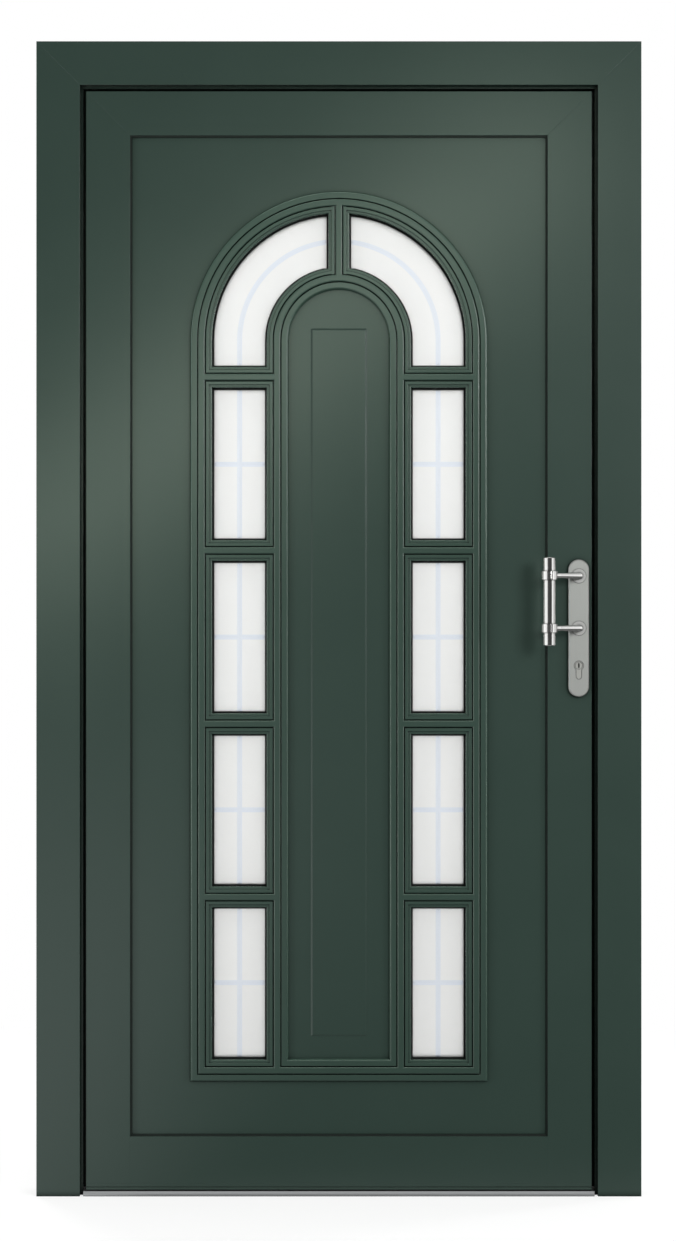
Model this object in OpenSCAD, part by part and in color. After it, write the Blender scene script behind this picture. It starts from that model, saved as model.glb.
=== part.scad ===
// Panelled front door, opening inwards, with its frame.
// X runs along the width, -Y is outside, +Y is inside and +Z is up.
// The origin is the middle of the threshold's underside.

/* [Frame] */
// Overall width of the frame
frame_w = 1100; // [1050:10:1200]
// Overall height of the frame
frame_h = 2100; // [2060:10:2300]
// Depth of the frame, outside face to inside face
frame_d = 76; // [74:1:80]
// Width of the frame's outside face
frame_face = 79; // [75:1:85]
// Width of the shadow step along the inner front edge of the frame
frame_step = 5; // [3:0.5:6]
// Depth of that step behind the outside face
step_depth = 14; // [10:1:18]
// Width of the frame's inside face
frame_inner = 63; // [60:1:66]
// Depth from the outside face to the stop shoulder
stop_depth = 28; // [26:1:30]
// Wall of the frame and leaf profiles
wall = 3; // [2.5:0.1:3.2]
// Wall of the edges that carry the hardware
edge_wall = 6; // [5.5:0.1:7]

/* [Leaf] */
// Gap between leaf and frame
leaf_gap = 6; // [5.5:0.5:7]
// Gap between the stop shoulders, filled by the seal
seal_gap = 6; // [5:0.5:7]
// How far the leaf's face lies behind the frame's face
leaf_recess = 6; // [4:0.5:8]
// Thickness of the leaf
leaf_d = 76; // [74:1:80]
// Width of the leaf's outside frame faces
stile_face = 80; // [76:1:86]
// Width of the hollow tube in each leaf profile
tube_w = 50; // [48:1:52]
// Thickness of the lip in front of the infill panel
lip_t = 4; // [3:0.5:5]
// Height of the bottom rail's face above the floor
bottom_face_z = 108; // [102:1:120]
// Height of the threshold
sill_h = 8.7; // [7:0.1:9]
// Gap between leaf and threshold
floor_gap = 2.3; // [2:0.1:3]
// Height of the seal carrier under the leaf
carrier_h = 12; // [11:0.5:14]

/* [Infill panel] */
// Thickness of the infill panel
panel_t = 44; // [40:1:46]
// Thickness of its aluminium sheets
sheet_t = 2; // [1:0.5:3]
// Thickness of the gaskets that hold it
gasket_t = 2.5; // [2:0.1:3]
// Sight width of the inner glazing beads
bead_sight = 26; // [22:1:30]
// Half width of the shallow raised field
field_half = 51; // [40:1:60]
// Rise of the raised field
field_rise = 1.5; // [1:0.1:2]
// Width of the field's sloped edge
field_slope = 3; // [2:0.5:5]
// Height of the field's top edge above the arch centre
field_lift = 21; // [0:1:40]

/* [Moulding and panes] */
// Distance from the centre line to the inner edge of the panes
glass_in = 131.5; // [130:0.5:140]
// Visible width of a side pane
pane_w = 99.5; // [90:0.5:105]
// Number of side panes one above another
pane_count = 4; // [3:1:5]
// Gap between the moulding and the top rail's face
top_margin = 101; // [80:0.5:140]
// Height of the lowest pane's visible edge
pane_z0 = 247; // [244:1:260]
// Straight foot of the arched panes below the arch centre
arch_foot = 49; // [40:1:55]
// Width of the stepped ring round each pane
ring_w = 12; // [11.5:0.5:14]
// Width of the flat beads
bead_w = 14; // [13:0.5:15]
// Width of the rounded border of the moulding
border_w = 14; // [13:0.5:16]
// Thickness of a sealed glass unit
glass_t = 24; // [22:1:26]
// Width of the grooves cut into the glass
cut_w = 9; // [6:0.5:11]

/* [Lock and handles] */
// Distance from the leaf's edge to the cylinder axis
backset = 45; // [43:1:46]
// Height of the key cylinder's axis
cylinder_z = 965; // [950:1:1000]
// Distance from the cylinder axis up to the lever axis
lever_rise = 92; // [90:1:94]
// Width of the handle plates
plate_w = 37; // [34:1:40]
// Length of the handle plates
plate_l = 250; // [245:1:260]
// Thickness of the handle plates
plate_t = 9; // [8:0.5:10]
// Radius of the outside pull bar
bar_r = 11.5; // [9:0.5:12]
// Length of the outside pull bar
bar_l = 159; // [140:1:190]
// Reach of the lever handle
lever_l = 122; // [100:1:130]
// Travel of the dead bolts
bolt_throw = 20; // [15:1:20]
// Projection of the latch bolt
latch_out = 11; // [9:0.5:12]

/* [Hinges] */
// Radius of the hinge knuckles
knuckle_r = 11; // [10:0.5:11]
// Radius of the hinge pins
pin_r = 6; // [5:0.5:7]
// Height of each hinge
hinge_h = 140; // [120:5:160]

/* [Hidden] */
$fn = 96;

// Overshoot of a cutting tool past the surface that it cuts
over = 1;
// Room between a fixed piece and the pocket that holds it
room = 0.3;
// Radial clearance of a shaft in its bearing
running = 0.05;

// Colours of the finishes
green = "#3a4a43";
steel = "#b9bcbd";
rubber = "#151716";
bare_aluminium = "#a9adae";
frosted = "#e9edec";

// Frame planes
y_out = -frame_d / 2;
y_in = frame_d / 2;
y_stop = y_out + stop_depth;
stop_u = frame_face + frame_step;
x_stop = frame_w / 2 - stop_u;
x_reveal = frame_w / 2 - frame_inner;
z_stop = frame_h - stop_u;

// Leaf planes
leaf_half = x_stop - leaf_gap;
flange_half = x_reveal - leaf_gap;
flange_w = flange_half - leaf_half;
leaf_top = z_stop - leaf_gap;
leaf_out = y_out + leaf_recess;
leaf_in = leaf_out + leaf_d;
shoulder_y = y_stop + seal_gap;
leaf_bottom = sill_h + floor_gap;
rail_bottom = leaf_bottom + carrier_h;
lip_half = leaf_half - stile_face;
lip_top = leaf_top - stile_face;
tube_half = leaf_half - tube_w;
tube_top = leaf_top - tube_w;
tube_bottom = bottom_face_z - (stile_face - tube_w);

// Infill planes
panel_out = leaf_out + lip_t + gasket_t;
panel_in = panel_out + panel_t;
panel_room = 3;
gasket_show = 3;
gasket_grip = 15;
bead_y = panel_in + gasket_t;
bead_half = tube_half - bead_sight;

// Moulding rings and panes
glass_out = glass_in + pane_w;
pane_x = (glass_in + glass_out) / 2;
outer_half = glass_out + ring_w;
arch_z = lip_top - top_margin - border_w - bead_w - outer_half;
pitch = (arch_z - arch_foot - pane_z0) / pane_count;
pane_h = pitch - 2 * ring_w - bead_w;
pane_rows = [0 : pane_count - 1];
centre_half = glass_in - ring_w - bead_w;
mullion_half = bead_w / 2 + ring_w;
frame_z0 = pane_z0 - ring_w;
base_h = 3.5;
quirk = 1.6;
nick = 0.6;
bead_h = 8;
bead_round = 2.4;
border_h = 7;
border_round = 2.6;
border_flank = 1.5;
border_edge = 0.8;
ring_h = 7;
lip_h = 5.2;
lip_w = 5;
lip_round = 1.6;
ring_lap = 0.5;
seal_t = 2;
seal_show = 3.2;
leg_w = 3.5;
pane_cover = 8;
pane_room = 1;
glass_mid = (panel_out + panel_in) / 2;
glass_face_out = glass_mid - glass_t / 2;
glass_face_in = glass_mid + glass_t / 2;
leg_h = glass_face_out - panel_out - seal_t;
cut_d = 1.5;
field_z0 = frame_z0 + centre_half - field_half;
field_z1 = arch_z + field_lift;

// Hardware planes
lock_y = 20;
groove_d = 3;
strip_w = 24;
strip_t = 3;
groove_room = 0.2;
groove_w = strip_w + groove_room;
axis_x = flange_half - backset;
lever_z = cylinder_z + lever_rise;
bolt_y = 12;
bolt_face_x = flange_half - room;
dead_rise = 35;
dead_z = cylinder_z + dead_rise;
dead_h = 34;
latch_rise = 30;
latch_z = lever_z + latch_rise;
latch_h = 30;
latch_tip = 2;
latch_tail = 50;
bolt_tail = 2 * bolt_throw + over;
side_bolt_h = 30;
low_bolt_z = 420;
top_bolt_drop = 370;
side_bolt_z = [low_bolt_z, leaf_top - top_bolt_drop];
case_t = 16;
case_wall = 1.5;
case_front = flange_half - strip_t;
case_back = 19;
case_depth = backset - strip_t + case_back;
case_below = 33;
case_above = 25;
case_z0 = cylinder_z - case_below;
case_z1 = latch_z + case_above;
side_case_h = 80;
side_case_room = 4;
side_case_depth = bolt_tail + side_case_room;
faceplate_end = 120;
faceplate_z = [side_bolt_z[0] - faceplate_end, side_bolt_z[1] + faceplate_end];
faceplate_screw_off = 35;
faceplate_screw_z = [
    faceplate_z[0] + faceplate_screw_off, case_z0 - faceplate_screw_off,
    case_z1 + faceplate_screw_off, faceplate_z[1] - faceplate_screw_off
];
strike_play = 2;
strike_end = 40;
main_strike_z = [dead_z - dead_h / 2 - strike_end, latch_z + latch_h / 2 + strike_end];
bolt_strike_h = side_bolt_h + 2 * strike_end;
strike_screw_off = 15;
rod_w = 6;
rod_t = 5;
rod_end = 90;
rod_z = [side_bolt_z[0] + rod_end, side_bolt_z[1] - rod_end];
rod_x = flange_half - edge_wall - room;
rod_y = lock_y + case_t / 2 + room;
screw_r = 2;
screw_head_r = 4;
screw_head_h = 2;
screw_l = 16;

// Handle set
plate_rise = 68;
plate_z = cylinder_z + plate_rise;
plate_out_y = leaf_out - plate_t;
plate_in_y = leaf_in + plate_t;
plate_edge = 1.5;
arm_pitch = 95;
arm_z = [plate_z, plate_z + arm_pitch];
bar_off = 58;
bar_x = axis_x - bar_off;
bar_out = 50;
bar_y = plate_out_y - bar_out;
bar_rise = 48;
bar_z = plate_z + bar_rise;
bar_edge = 1.2;
arm_r = 4.5;
post_r = 6;
boss_r = 5.2;
boss_l = 8;
post_l = 22;
rosette_r = 13;
rosette_t = 2;
collar_r = 15;
collar_h = 15.6;
profile_r = 8.5;
profile_stem = 10;
profile_drop = 24.5;
plug_r = 6.5;
cam_w = 9;
cam_r = 14.8;
cam_drop = sqrt(cam_r * cam_r - cam_w * cam_w / 4);
cam_gap = 10;
cam_gap_r = 15.5;
keyway_w = 2.2;
keyway_h = 8;
keyway_d = 7;
plate_screw_r = 2.5;
plate_screw_head = 5;
plate_screw_off = 113;
neck_r = 9;
grip_r = 10;
neck_out = 43;
spindle_w = 8;
spindle_room = 6.4;

// Hinges
low_hinge_z = 260;
top_hinge_drop = 210;
top_hinge_z = leaf_top - top_hinge_drop;
hinge_z = [low_hinge_z, (low_hinge_z + top_hinge_z) / 2, top_hinge_z];
hinge_x = -(x_reveal + flange_half) / 2;
knuckle_room = 1;
hinge_y = leaf_in + knuckle_r + knuckle_room;
knuckle_gap = 0.5;
leaf_knuckle_h = 50;
hinge_plate_t = 5;
hinge_plate_w = 46;
hinge_plate_gap = 10;
hinge_screw_z = 50;
hinge_screw_x = [12, 34];
pin_cap_h = 4;
pin_cap_edge = 2;

// Fixings of the frame to the wall
fixing_r = 4.3;
fixing_access_r = 7;
fixing_end = 350;
fixing_z = [fixing_end, frame_h - fixing_end];
fixing_y = 0;

// Threshold and seals
seal_press = 0.25;
nose_h = 4.5;
nose_run = 4;
sill_end = 1;
sill_back_drop = 5;
sill_groove_w = 3;
sill_groove_d = 1;
sill_grooves = [14, 22, 30];
carrier_line_z = 4.5;
carrier_line = 1;
seal_slot_w = 12;
seal_slot_h = 7;
seal_slot_y = 8;
seal_foot = 8;
seal_foot_t = 1.6;
seal_bulb_wall = 1;
seal_bulb_r = seal_gap / 2 - seal_press;
seal_off = 8;
seal_u = frame_inner + seal_off;
bottom_seal_tip = 4;
bottom_seal_gap = 0.4;
cleat_leg = 80;

// Extrudes a section given in y and z along x, centred
module along_x(length) {
    translate([-length / 2, 0, 0])
        rotate([90, 0, 90])
            linear_extrude(length) children();
}

// Extrudes an outline given in x and z from y0 to y1
module slab(y0, y1) {
    translate([0, y1, 0])
        rotate([90, 0, 0])
            linear_extrude(y1 - y0) children();
}

// A box given by its two corners
module box(a, b) {
    translate(a) cube(b - a);
}

// A cylinder along y between two planes
module rod_y_between(x, z, r, y0, y1) {
    translate([x, y1, z])
        rotate([90, 0, 0])
            cylinder(r = r, h = y1 - y0);
}

// A cylinder along x between two planes
module rod_x_between(y, z, r, x0, x1) {
    translate([x0, y, z])
        rotate([0, 90, 0])
            cylinder(r = r, h = x1 - x0);
}

// Mirrors a piece to the other side of the door
module other_side() {
    mirror([1, 0, 0]) children();
}

// A countersunk screw along -z, its head flush with z = 0
module countersunk(r, head_r, head_h, length) {
    translate([0, 0, -head_h]) cylinder(r1 = r, r2 = head_r, h = head_h);
    translate([0, 0, -length]) cylinder(r = r, h = length - head_h);
}

// The hole for such a screw
module countersunk_hole(length) {
    translate([0, 0, -screw_head_h])
        cylinder(r1 = screw_r + running, r2 = screw_head_r + running, h = screw_head_h);
    translate([0, 0, -length]) cylinder(r = screw_r + running, h = length + over);
}

// Frame profiles

// Section of the frame profile, u from the wall side inwards
module frame_section() {
    difference() {
        polygon([
            [0, y_out], [frame_face, y_out], [frame_face, y_out + step_depth], [stop_u, y_out + step_depth],
            [stop_u, y_stop], [frame_inner, y_stop], [frame_inner, y_in], [0, y_in]
        ]);
        translate([wall, y_out + wall]) square([frame_face - 2 * wall, stop_depth - 2 * wall]);
        translate([wall, y_stop]) square([frame_inner - edge_wall - wall, y_in - wall - y_stop]);
        translate([frame_inner - groove_d, lock_y - groove_w / 2]) square([groove_d + over, groove_w]);
    }
}

// A left upright cut to the head's mitre, from a section in u and y, its foot at z0
module mitred_upright(u_max, z0) {
    translate([-frame_w / 2, 0, 0])
        intersection() {
            translate([0, 0, z0]) linear_extrude(frame_h - z0) children();
            slab(-frame_d, frame_d)
                polygon([
                    [-over, z0 - over], [u_max + over, z0 - over],
                    [u_max + over, frame_h - u_max - over], [-over, frame_h + over]
                ]);
        }
}

// A head piece mitred to both uprights
module mitred_head(u_max) {
    intersection() {
        translate([-frame_w / 2, 0, frame_h])
            rotate([0, 90, 0])
                linear_extrude(frame_w) children();
        slab(-frame_d, frame_d)
            polygon([
                [-frame_w / 2 - over, frame_h + over], [frame_w / 2 + over, frame_h + over],
                [frame_w / 2 - u_max - over, frame_h - u_max - over],
                [-frame_w / 2 + u_max + over, frame_h - u_max - over]
            ]);
    }
}

// Left upright of the frame with its wall fixing holes
module jamb() {
    difference() {
        mitred_upright(stop_u, 0) frame_section();
        for (z = fixing_z) {
            rod_x_between(fixing_y, z, fixing_r, -frame_w / 2 - over, -frame_w / 2 + wall + over);
            rod_x_between(fixing_y, z, fixing_access_r, -x_reveal - edge_wall - over, -x_reveal + over);
        }
    }
}

// Places a child at each screw of a hinge part, head towards the room
module hinge_screw_places(x0, direction, y) {
    for (z = hinge_z, x = hinge_screw_x, s = [-1, 1])
        translate([x0 + direction * x, y, z + s * hinge_screw_z])
            rotate([-90, 0, 0]) children();
}

frame_plate_x = hinge_x - hinge_plate_gap;
leaf_plate_x = hinge_x + hinge_plate_gap;

module hinge_jamb() {
    color(green)
        difference() {
            jamb();
            hinge_screw_places(frame_plate_x, -1, y_in + hinge_plate_t) countersunk_hole(screw_l);
        }
}

// Places a child at each strike screw, head towards the leaf
module strike_screw_places() {
    zs = [
        main_strike_z[0] + strike_screw_off, main_strike_z[1] - strike_screw_off,
        for (z = side_bolt_z, s = [-1, 1]) z + s * (bolt_strike_h / 2 - strike_screw_off)
    ];
    for (z = zs)
        translate([x_reveal, lock_y, z]) rotate([0, -90, 0]) children();
}

// The openings for the bolts in the strikes and in the jamb behind them
module strike_openings(x0, x1) {
    bolt_ways(x0, x1, strike_play);
}

module lock_jamb() {
    color(green)
        difference() {
            other_side() jamb();
            strike_openings(x_reveal - over, x_reveal + edge_wall + over);
            strike_screw_places() countersunk_hole(screw_l);
        }
}

module frame_head() {
    color(green) mitred_head(stop_u) frame_section();
}

// One corner cleat inside the left mitre
module frame_cleat() {
    inner = frame_inner - edge_wall - room;
    y0 = y_stop + room;
    y1 = y_in - wall - room;
    x0 = -frame_w / 2;
    box([x0 + wall + room, y0, frame_h - inner - cleat_leg], [x0 + inner, y1, frame_h - wall - room]);
    box([x0 + inner - over, y0, frame_h - inner], [x0 + inner + cleat_leg, y1, frame_h - wall - room]);
}

module frame_corner_cleats() {
    color(bare_aluminium) {
        frame_cleat();
        other_side() frame_cleat();
    }
}

module threshold() {
    color(bare_aluminium)
        difference() {
            along_x(2 * (x_reveal - room))
                difference() {
                    polygon([
                        [y_out, 0], [y_in, 0], [y_in, sill_h - sill_back_drop],
                        [y_in - sill_back_drop, sill_h], [y_out + nose_run, sill_h], [y_out, nose_h]
                    ]);
                    for (y = sill_grooves)
                        translate([y - sill_groove_w / 2, sill_h - sill_groove_d])
                            square([sill_groove_w, sill_groove_d + over]);
                }
            for (s = [0, 1])
                mirror([s, 0, 0])
                    box([x_stop - sill_end, y_out - over, -over], [frame_w, y_stop + room, sill_h + over]);
        }
}

// Section of the stop seal: a foot on the shoulder and a round bulb
module seal_section() {
    translate([seal_u - seal_foot / 2, y_stop]) square([seal_foot, seal_foot_t]);
    translate([seal_u, y_stop + seal_bulb_r + running])
        difference() {
            circle(seal_bulb_r);
            circle(seal_bulb_r - seal_bulb_wall);
        }
}

module frame_seal() {
    color(rubber) {
        mitred_upright(stop_u, sill_h + room) seal_section();
        other_side() mitred_upright(stop_u, sill_h + room) seal_section();
        mitred_head(stop_u) seal_section();
    }
}

// Strikes

module main_strike() {
    color(steel)
        difference() {
            box([x_reveal, lock_y - strip_w / 2, main_strike_z[0]],
                [x_reveal + strip_t, lock_y + strip_w / 2, main_strike_z[1]]);
            strike_openings(x_reveal - over, x_reveal + strip_t + over);
            strike_screw_places() countersunk_hole(screw_l);
        }
}

module bolt_strikes() {
    color(steel)
        difference() {
            for (z = side_bolt_z)
                box([x_reveal, lock_y - strip_w / 2, z - bolt_strike_h / 2],
                    [x_reveal + strip_t, lock_y + strip_w / 2, z + bolt_strike_h / 2]);
            strike_openings(x_reveal - over, x_reveal + strip_t + over);
            strike_screw_places() countersunk_hole(screw_l);
        }
}

module strike_screws() {
    color(steel) strike_screw_places() countersunk(screw_r, screw_head_r, screw_head_h, screw_l);
}

// Hinges

// One hinge's half on the frame: plate, two arms and two knuckles
module hinge_frame_part(z) {
    side_h = (hinge_h - leaf_knuckle_h) / 2;
    difference() {
        union() {
            box([frame_plate_x - hinge_plate_w, y_in, z - hinge_h / 2],
                [frame_plate_x, y_in + hinge_plate_t, z + hinge_h / 2]);
            for (z0 = [z - hinge_h / 2, z + leaf_knuckle_h / 2])
                translate([0, 0, z0])
                    linear_extrude(side_h) {
                        translate([hinge_x, hinge_y]) circle(knuckle_r);
                        polygon([
                            [frame_plate_x - hinge_plate_gap, y_in], [frame_plate_x, y_in],
                            [hinge_x, hinge_y - knuckle_r + over], [hinge_x - knuckle_r + over, hinge_y],
                            [frame_plate_x - hinge_plate_gap, y_in + hinge_plate_t]
                        ]);
                    }
        }
        translate([hinge_x, hinge_y, z - hinge_h / 2 - over])
            cylinder(r = pin_r + running, h = hinge_h + 2 * over);
        hinge_screw_places(frame_plate_x, -1, y_in + hinge_plate_t) countersunk_hole(screw_l);
    }
}

module hinge_frame_part_top() {
    color(green) hinge_frame_part(hinge_z[2]);
}

module hinge_frame_part_middle() {
    color(green) hinge_frame_part(hinge_z[1]);
}

module hinge_frame_part_bottom() {
    color(green) hinge_frame_part(hinge_z[0]);
}

module hinge_pins() {
    color(steel)
        for (z = hinge_z)
            translate([hinge_x, hinge_y, z]) {
                translate([0, 0, -hinge_h / 2]) cylinder(r = pin_r, h = hinge_h);
                for (s = [0, 1])
                    mirror([0, 0, s])
                        translate([0, 0, hinge_h / 2])
                            cylinder(r1 = knuckle_r, r2 = knuckle_r - pin_cap_edge, h = pin_cap_h);
            }
}

module hinge_frame_screws() {
    color(steel)
        hinge_screw_places(frame_plate_x, -1, y_in + hinge_plate_t)
            countersunk(screw_r, screw_head_r, screw_head_h, screw_l);
}

// One hinge's half on the leaf: plate, arm and knuckle
module hinge_leaf_part(z) {
    knuckle_h = leaf_knuckle_h - 2 * knuckle_gap;
    difference() {
        union() {
            box([leaf_plate_x + hinge_plate_gap / 2, leaf_in, z - hinge_h / 2],
                [leaf_plate_x + hinge_plate_w, leaf_in + hinge_plate_t, z + hinge_h / 2]);
            translate([0, 0, z - knuckle_h / 2])
                linear_extrude(knuckle_h) {
                    translate([hinge_x, hinge_y]) circle(knuckle_r);
                    polygon([
                        [leaf_plate_x + hinge_plate_gap, leaf_in], [hinge_x + over, leaf_in + over],
                        [hinge_x, hinge_y], [hinge_x + knuckle_r - over, hinge_y],
                        [leaf_plate_x + hinge_plate_gap, leaf_in + hinge_plate_t]
                    ]);
                }
        }
        translate([hinge_x, hinge_y, z - hinge_h / 2]) cylinder(r = pin_r + running, h = hinge_h);
        hinge_screw_places(leaf_plate_x, 1, leaf_in + hinge_plate_t) countersunk_hole(screw_l);
    }
}

module hinge_leaf_part_top() {
    color(green) hinge_leaf_part(hinge_z[2]);
}

module hinge_leaf_part_middle() {
    color(green) hinge_leaf_part(hinge_z[1]);
}

module hinge_leaf_part_bottom() {
    color(green) hinge_leaf_part(hinge_z[0]);
}

module hinge_leaf_screws() {
    color(steel)
        hinge_screw_places(leaf_plate_x, 1, leaf_in + hinge_plate_t)
            countersunk(screw_r, screw_head_r, screw_head_h, screw_l);
}

// Leaf profiles

// Section of the leaf profile, v from the outside face's edge inwards
module leaf_section() {
    difference() {
        polygon([
            [0, leaf_out], [stile_face, leaf_out], [stile_face, leaf_out + lip_t], [tube_w, leaf_out + lip_t],
            [tube_w, leaf_in], [-flange_w, leaf_in], [-flange_w, shoulder_y], [0, shoulder_y]
        ]);
        translate([wall, leaf_out + wall]) square([tube_w - 2 * wall, shoulder_y - leaf_out - wall]);
        translate([-flange_w + edge_wall, shoulder_y + wall])
            square([tube_w - wall + flange_w - edge_wall, leaf_in - shoulder_y - 2 * wall]);
        translate([-flange_w - over, lock_y - groove_w / 2]) square([groove_d + over, groove_w]);
    }
}

// Left stile, mitred to the top rail
module stile() {
    translate([-leaf_half, 0, 0])
        intersection() {
            translate([0, 0, rail_bottom]) linear_extrude(frame_h) leaf_section();
            slab(-frame_d, frame_d)
                polygon([
                    [-flange_w - over, 0], [stile_face + over, 0],
                    [stile_face + over, lip_top - over], [-flange_w - over, leaf_top + flange_w + over]
                ]);
        }
}

module hinge_stile() {
    color(green)
        difference() {
            stile();
            hinge_screw_places(leaf_plate_x, 1, leaf_in + hinge_plate_t) countersunk_hole(screw_l);
        }
}

// Outline of the key cylinder in x and z about its axis
module profile_outline(extra) {
    circle(profile_r + extra);
    translate([-profile_stem / 2 - extra, -profile_drop + profile_stem / 2])
        square([profile_stem + 2 * extra, profile_drop - profile_stem / 2]);
    translate([0, -profile_drop + profile_stem / 2]) circle(profile_stem / 2 + extra);
}

// The way of the key cylinder between two planes
module cylinder_way(extra, y0, y1) {
    translate([axis_x, 0, cylinder_z]) slab(y0, y1) profile_outline(extra);
}

// The holes of the handle plates' through screws
module plate_screw_ways(r, y0, y1) {
    for (s = [-1, 1])
        rod_y_between(axis_x, plate_z + s * plate_screw_off, r, y0, y1);
}

// Room in the stile's edge for the lock cases behind the faceplate
module case_slots() {
    for (p = concat([[case_z0, case_z1]], [for (z = side_bolt_z) [z - side_case_h / 2, z + side_case_h / 2]]))
        box([case_front - edge_wall, lock_y - case_t / 2 - room, p[0] - room],
            [case_front + over, lock_y + case_t / 2 + room, p[1] + room]);
}

// Places a child at each faceplate screw, head towards the jamb
module faceplate_screw_places() {
    for (z = faceplate_screw_z)
        translate([flange_half, lock_y, z]) rotate([0, 90, 0]) children();
}

module lock_stile() {
    color(green)
        difference() {
            other_side() stile();
            case_slots();
            cylinder_way(room, leaf_out - over, leaf_in + over);
            rod_y_between(axis_x, lever_z, spindle_room, shoulder_y - over, leaf_in + over);
            plate_screw_ways(plate_screw_r + room, leaf_out - over, leaf_in + over);
            faceplate_screw_places() countersunk_hole(screw_l);
        }
}

module top_rail() {
    color(green)
        intersection() {
            translate([-flange_half, 0, leaf_top])
                rotate([0, 90, 0])
                    linear_extrude(2 * flange_half) leaf_section();
            slab(-frame_d, frame_d)
                polygon([
                    [-flange_half - over, leaf_top + flange_w + over],
                    [flange_half + over, leaf_top + flange_w + over],
                    [lip_half - over, lip_top - over], [-lip_half + over, lip_top - over]
                ]);
        }
}

module bottom_rail() {
    color(green)
        difference() {
            along_x(2 * tube_half)
                difference() {
                    polygon([
                        [leaf_out, rail_bottom], [leaf_in, rail_bottom], [leaf_in, tube_bottom],
                        [leaf_out + lip_t, tube_bottom], [leaf_out + lip_t, bottom_face_z],
                        [leaf_out, bottom_face_z]
                    ]);
                    translate([leaf_out + wall, rail_bottom + wall])
                        square([shoulder_y - leaf_out - wall, tube_bottom - rail_bottom - 2 * wall]);
                    translate([shoulder_y + wall, rail_bottom + wall])
                        square([leaf_in - shoulder_y - 2 * wall, tube_bottom - rail_bottom - 2 * wall]);
                }
            for (s = [0, 1])
                mirror([s, 0, 0])
                    box([lip_half, leaf_out - over, 0], [leaf_half, leaf_out + lip_t, bottom_face_z + over]);
        }
}

// The cleats of the leaf's left half: top corner and bottom connector
module leaf_cleats() {
    v0 = -flange_w + edge_wall + room;
    v1 = tube_w - wall - room;
    y0 = shoulder_y + wall + room;
    y1 = leaf_in - wall - room;
    box([-leaf_half + v0, y0, leaf_top - v1 - cleat_leg], [-leaf_half + v1, y1, leaf_top - v0]);
    box([-leaf_half + v1 - over, y0, leaf_top - v1], [-leaf_half + v1 + cleat_leg, y1, leaf_top - v0]);
    box([-tube_half, y0, rail_bottom + wall + room], [-tube_half + cleat_leg, y1, tube_bottom - wall - room]);
}

module leaf_corner_cleats() {
    color(bare_aluminium) {
        leaf_cleats();
        other_side() leaf_cleats();
    }
}

module bottom_seal_carrier() {
    color(green)
        difference() {
            along_x(2 * flange_half)
                difference() {
                    translate([leaf_out, leaf_bottom]) square([leaf_d, carrier_h]);
                    translate([seal_slot_y - seal_slot_w / 2, leaf_bottom - over])
                        square([seal_slot_w, seal_slot_h + over]);
                    translate([leaf_out - over, leaf_bottom + carrier_line_z])
                        square([carrier_line + over, carrier_line]);
                }
            for (s = [0, 1])
                mirror([s, 0, 0])
                    box([leaf_half, leaf_out - over, 0], [frame_w, shoulder_y, rail_bottom + over]);
        }
}

module bottom_seal() {
    tip = sill_h + bottom_seal_gap;
    color(rubber)
        along_x(2 * leaf_half)
            polygon([
                [seal_slot_y - seal_slot_w / 2, leaf_bottom + seal_slot_h],
                [seal_slot_y + seal_slot_w / 2, leaf_bottom + seal_slot_h],
                [seal_slot_y + seal_slot_w / 2, leaf_bottom], [seal_slot_y + bottom_seal_tip / 2, tip],
                [seal_slot_y - bottom_seal_tip / 2, tip], [seal_slot_y - seal_slot_w / 2, leaf_bottom]
            ]);
}

// Panes

// Visible outline of one side pane grown by g, in x and z
module side_pane_outline(row, g) {
    translate([pane_x - pane_w / 2 - g, pane_z0 + row * pitch - g])
        square([pane_w + 2 * g, pane_h + 2 * g]);
}

// Visible outline of the right arched pane grown by g, in x and z
module arch_pane_outline(g) {
    translate([0, arch_z])
        difference() {
            union() {
                intersection() {
                    circle(glass_out + g);
                    translate([mullion_half - g, 0]) square(2 * glass_out);
                }
                translate([glass_in - g, -arch_foot - g]) square([pane_w + 2 * g, arch_foot + g]);
            }
            intersection() {
                circle(glass_in - g);
                translate([0, -glass_in]) square(2 * glass_in);
            }
        }
}

// Outlines of all panes grown by g
module all_panes(g) {
    for (s = [0, 1])
        mirror([s, 0]) {
            arch_pane_outline(g);
            for (row = pane_rows) side_pane_outline(row, g);
        }
}

// Cross section of the groove cut into the glass
module cut_section() {
    polygon([[-cut_w, -cut_d], [cut_w, -cut_d], [0, cut_d]]);
}

// One side pane of the right column, with its crossed grooves
module side_pane(row) {
    mid_z = pane_z0 + row * pitch + pane_h / 2;
    difference() {
        slab(glass_face_out, glass_face_in) side_pane_outline(row, pane_cover);
        translate([pane_x, glass_face_out, mid_z - pane_h]) linear_extrude(2 * pane_h) cut_section();
        translate([pane_x - pane_w, glass_face_out, mid_z])
            rotate([0, 90, 0])
                linear_extrude(2 * pane_w) cut_section();
    }
}

module side_panes_left() {
    color(frosted) other_side() for (row = pane_rows) side_pane(row);
}

module side_panes_right() {
    color(frosted) for (row = pane_rows) side_pane(row);
}

// The right arched pane, with a groove along its middle
module arch_pane() {
    difference() {
        slab(glass_face_out, glass_face_in) arch_pane_outline(pane_cover);
        translate([0, glass_face_out, arch_z])
            rotate([90, 0, 0])
                rotate_extrude(angle = 180)
                    translate([pane_x, 0]) mirror([0, 1]) cut_section();
        translate([pane_x, glass_face_out, arch_z - 2 * arch_foot])
            linear_extrude(2 * arch_foot) cut_section();
    }
}

module arch_pane_left() {
    color(frosted) other_side() arch_pane();
}

module arch_pane_right() {
    color(frosted) arch_pane();
}

// Rings of rubber on the panes between two planes
module pane_seals(y0, y1) {
    slab(y0, y1)
        difference() {
            all_panes(leg_w);
            all_panes(-seal_show);
        }
}

module pane_seals_outer() {
    color(rubber) pane_seals(glass_face_out - seal_t, glass_face_out);
}

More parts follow.
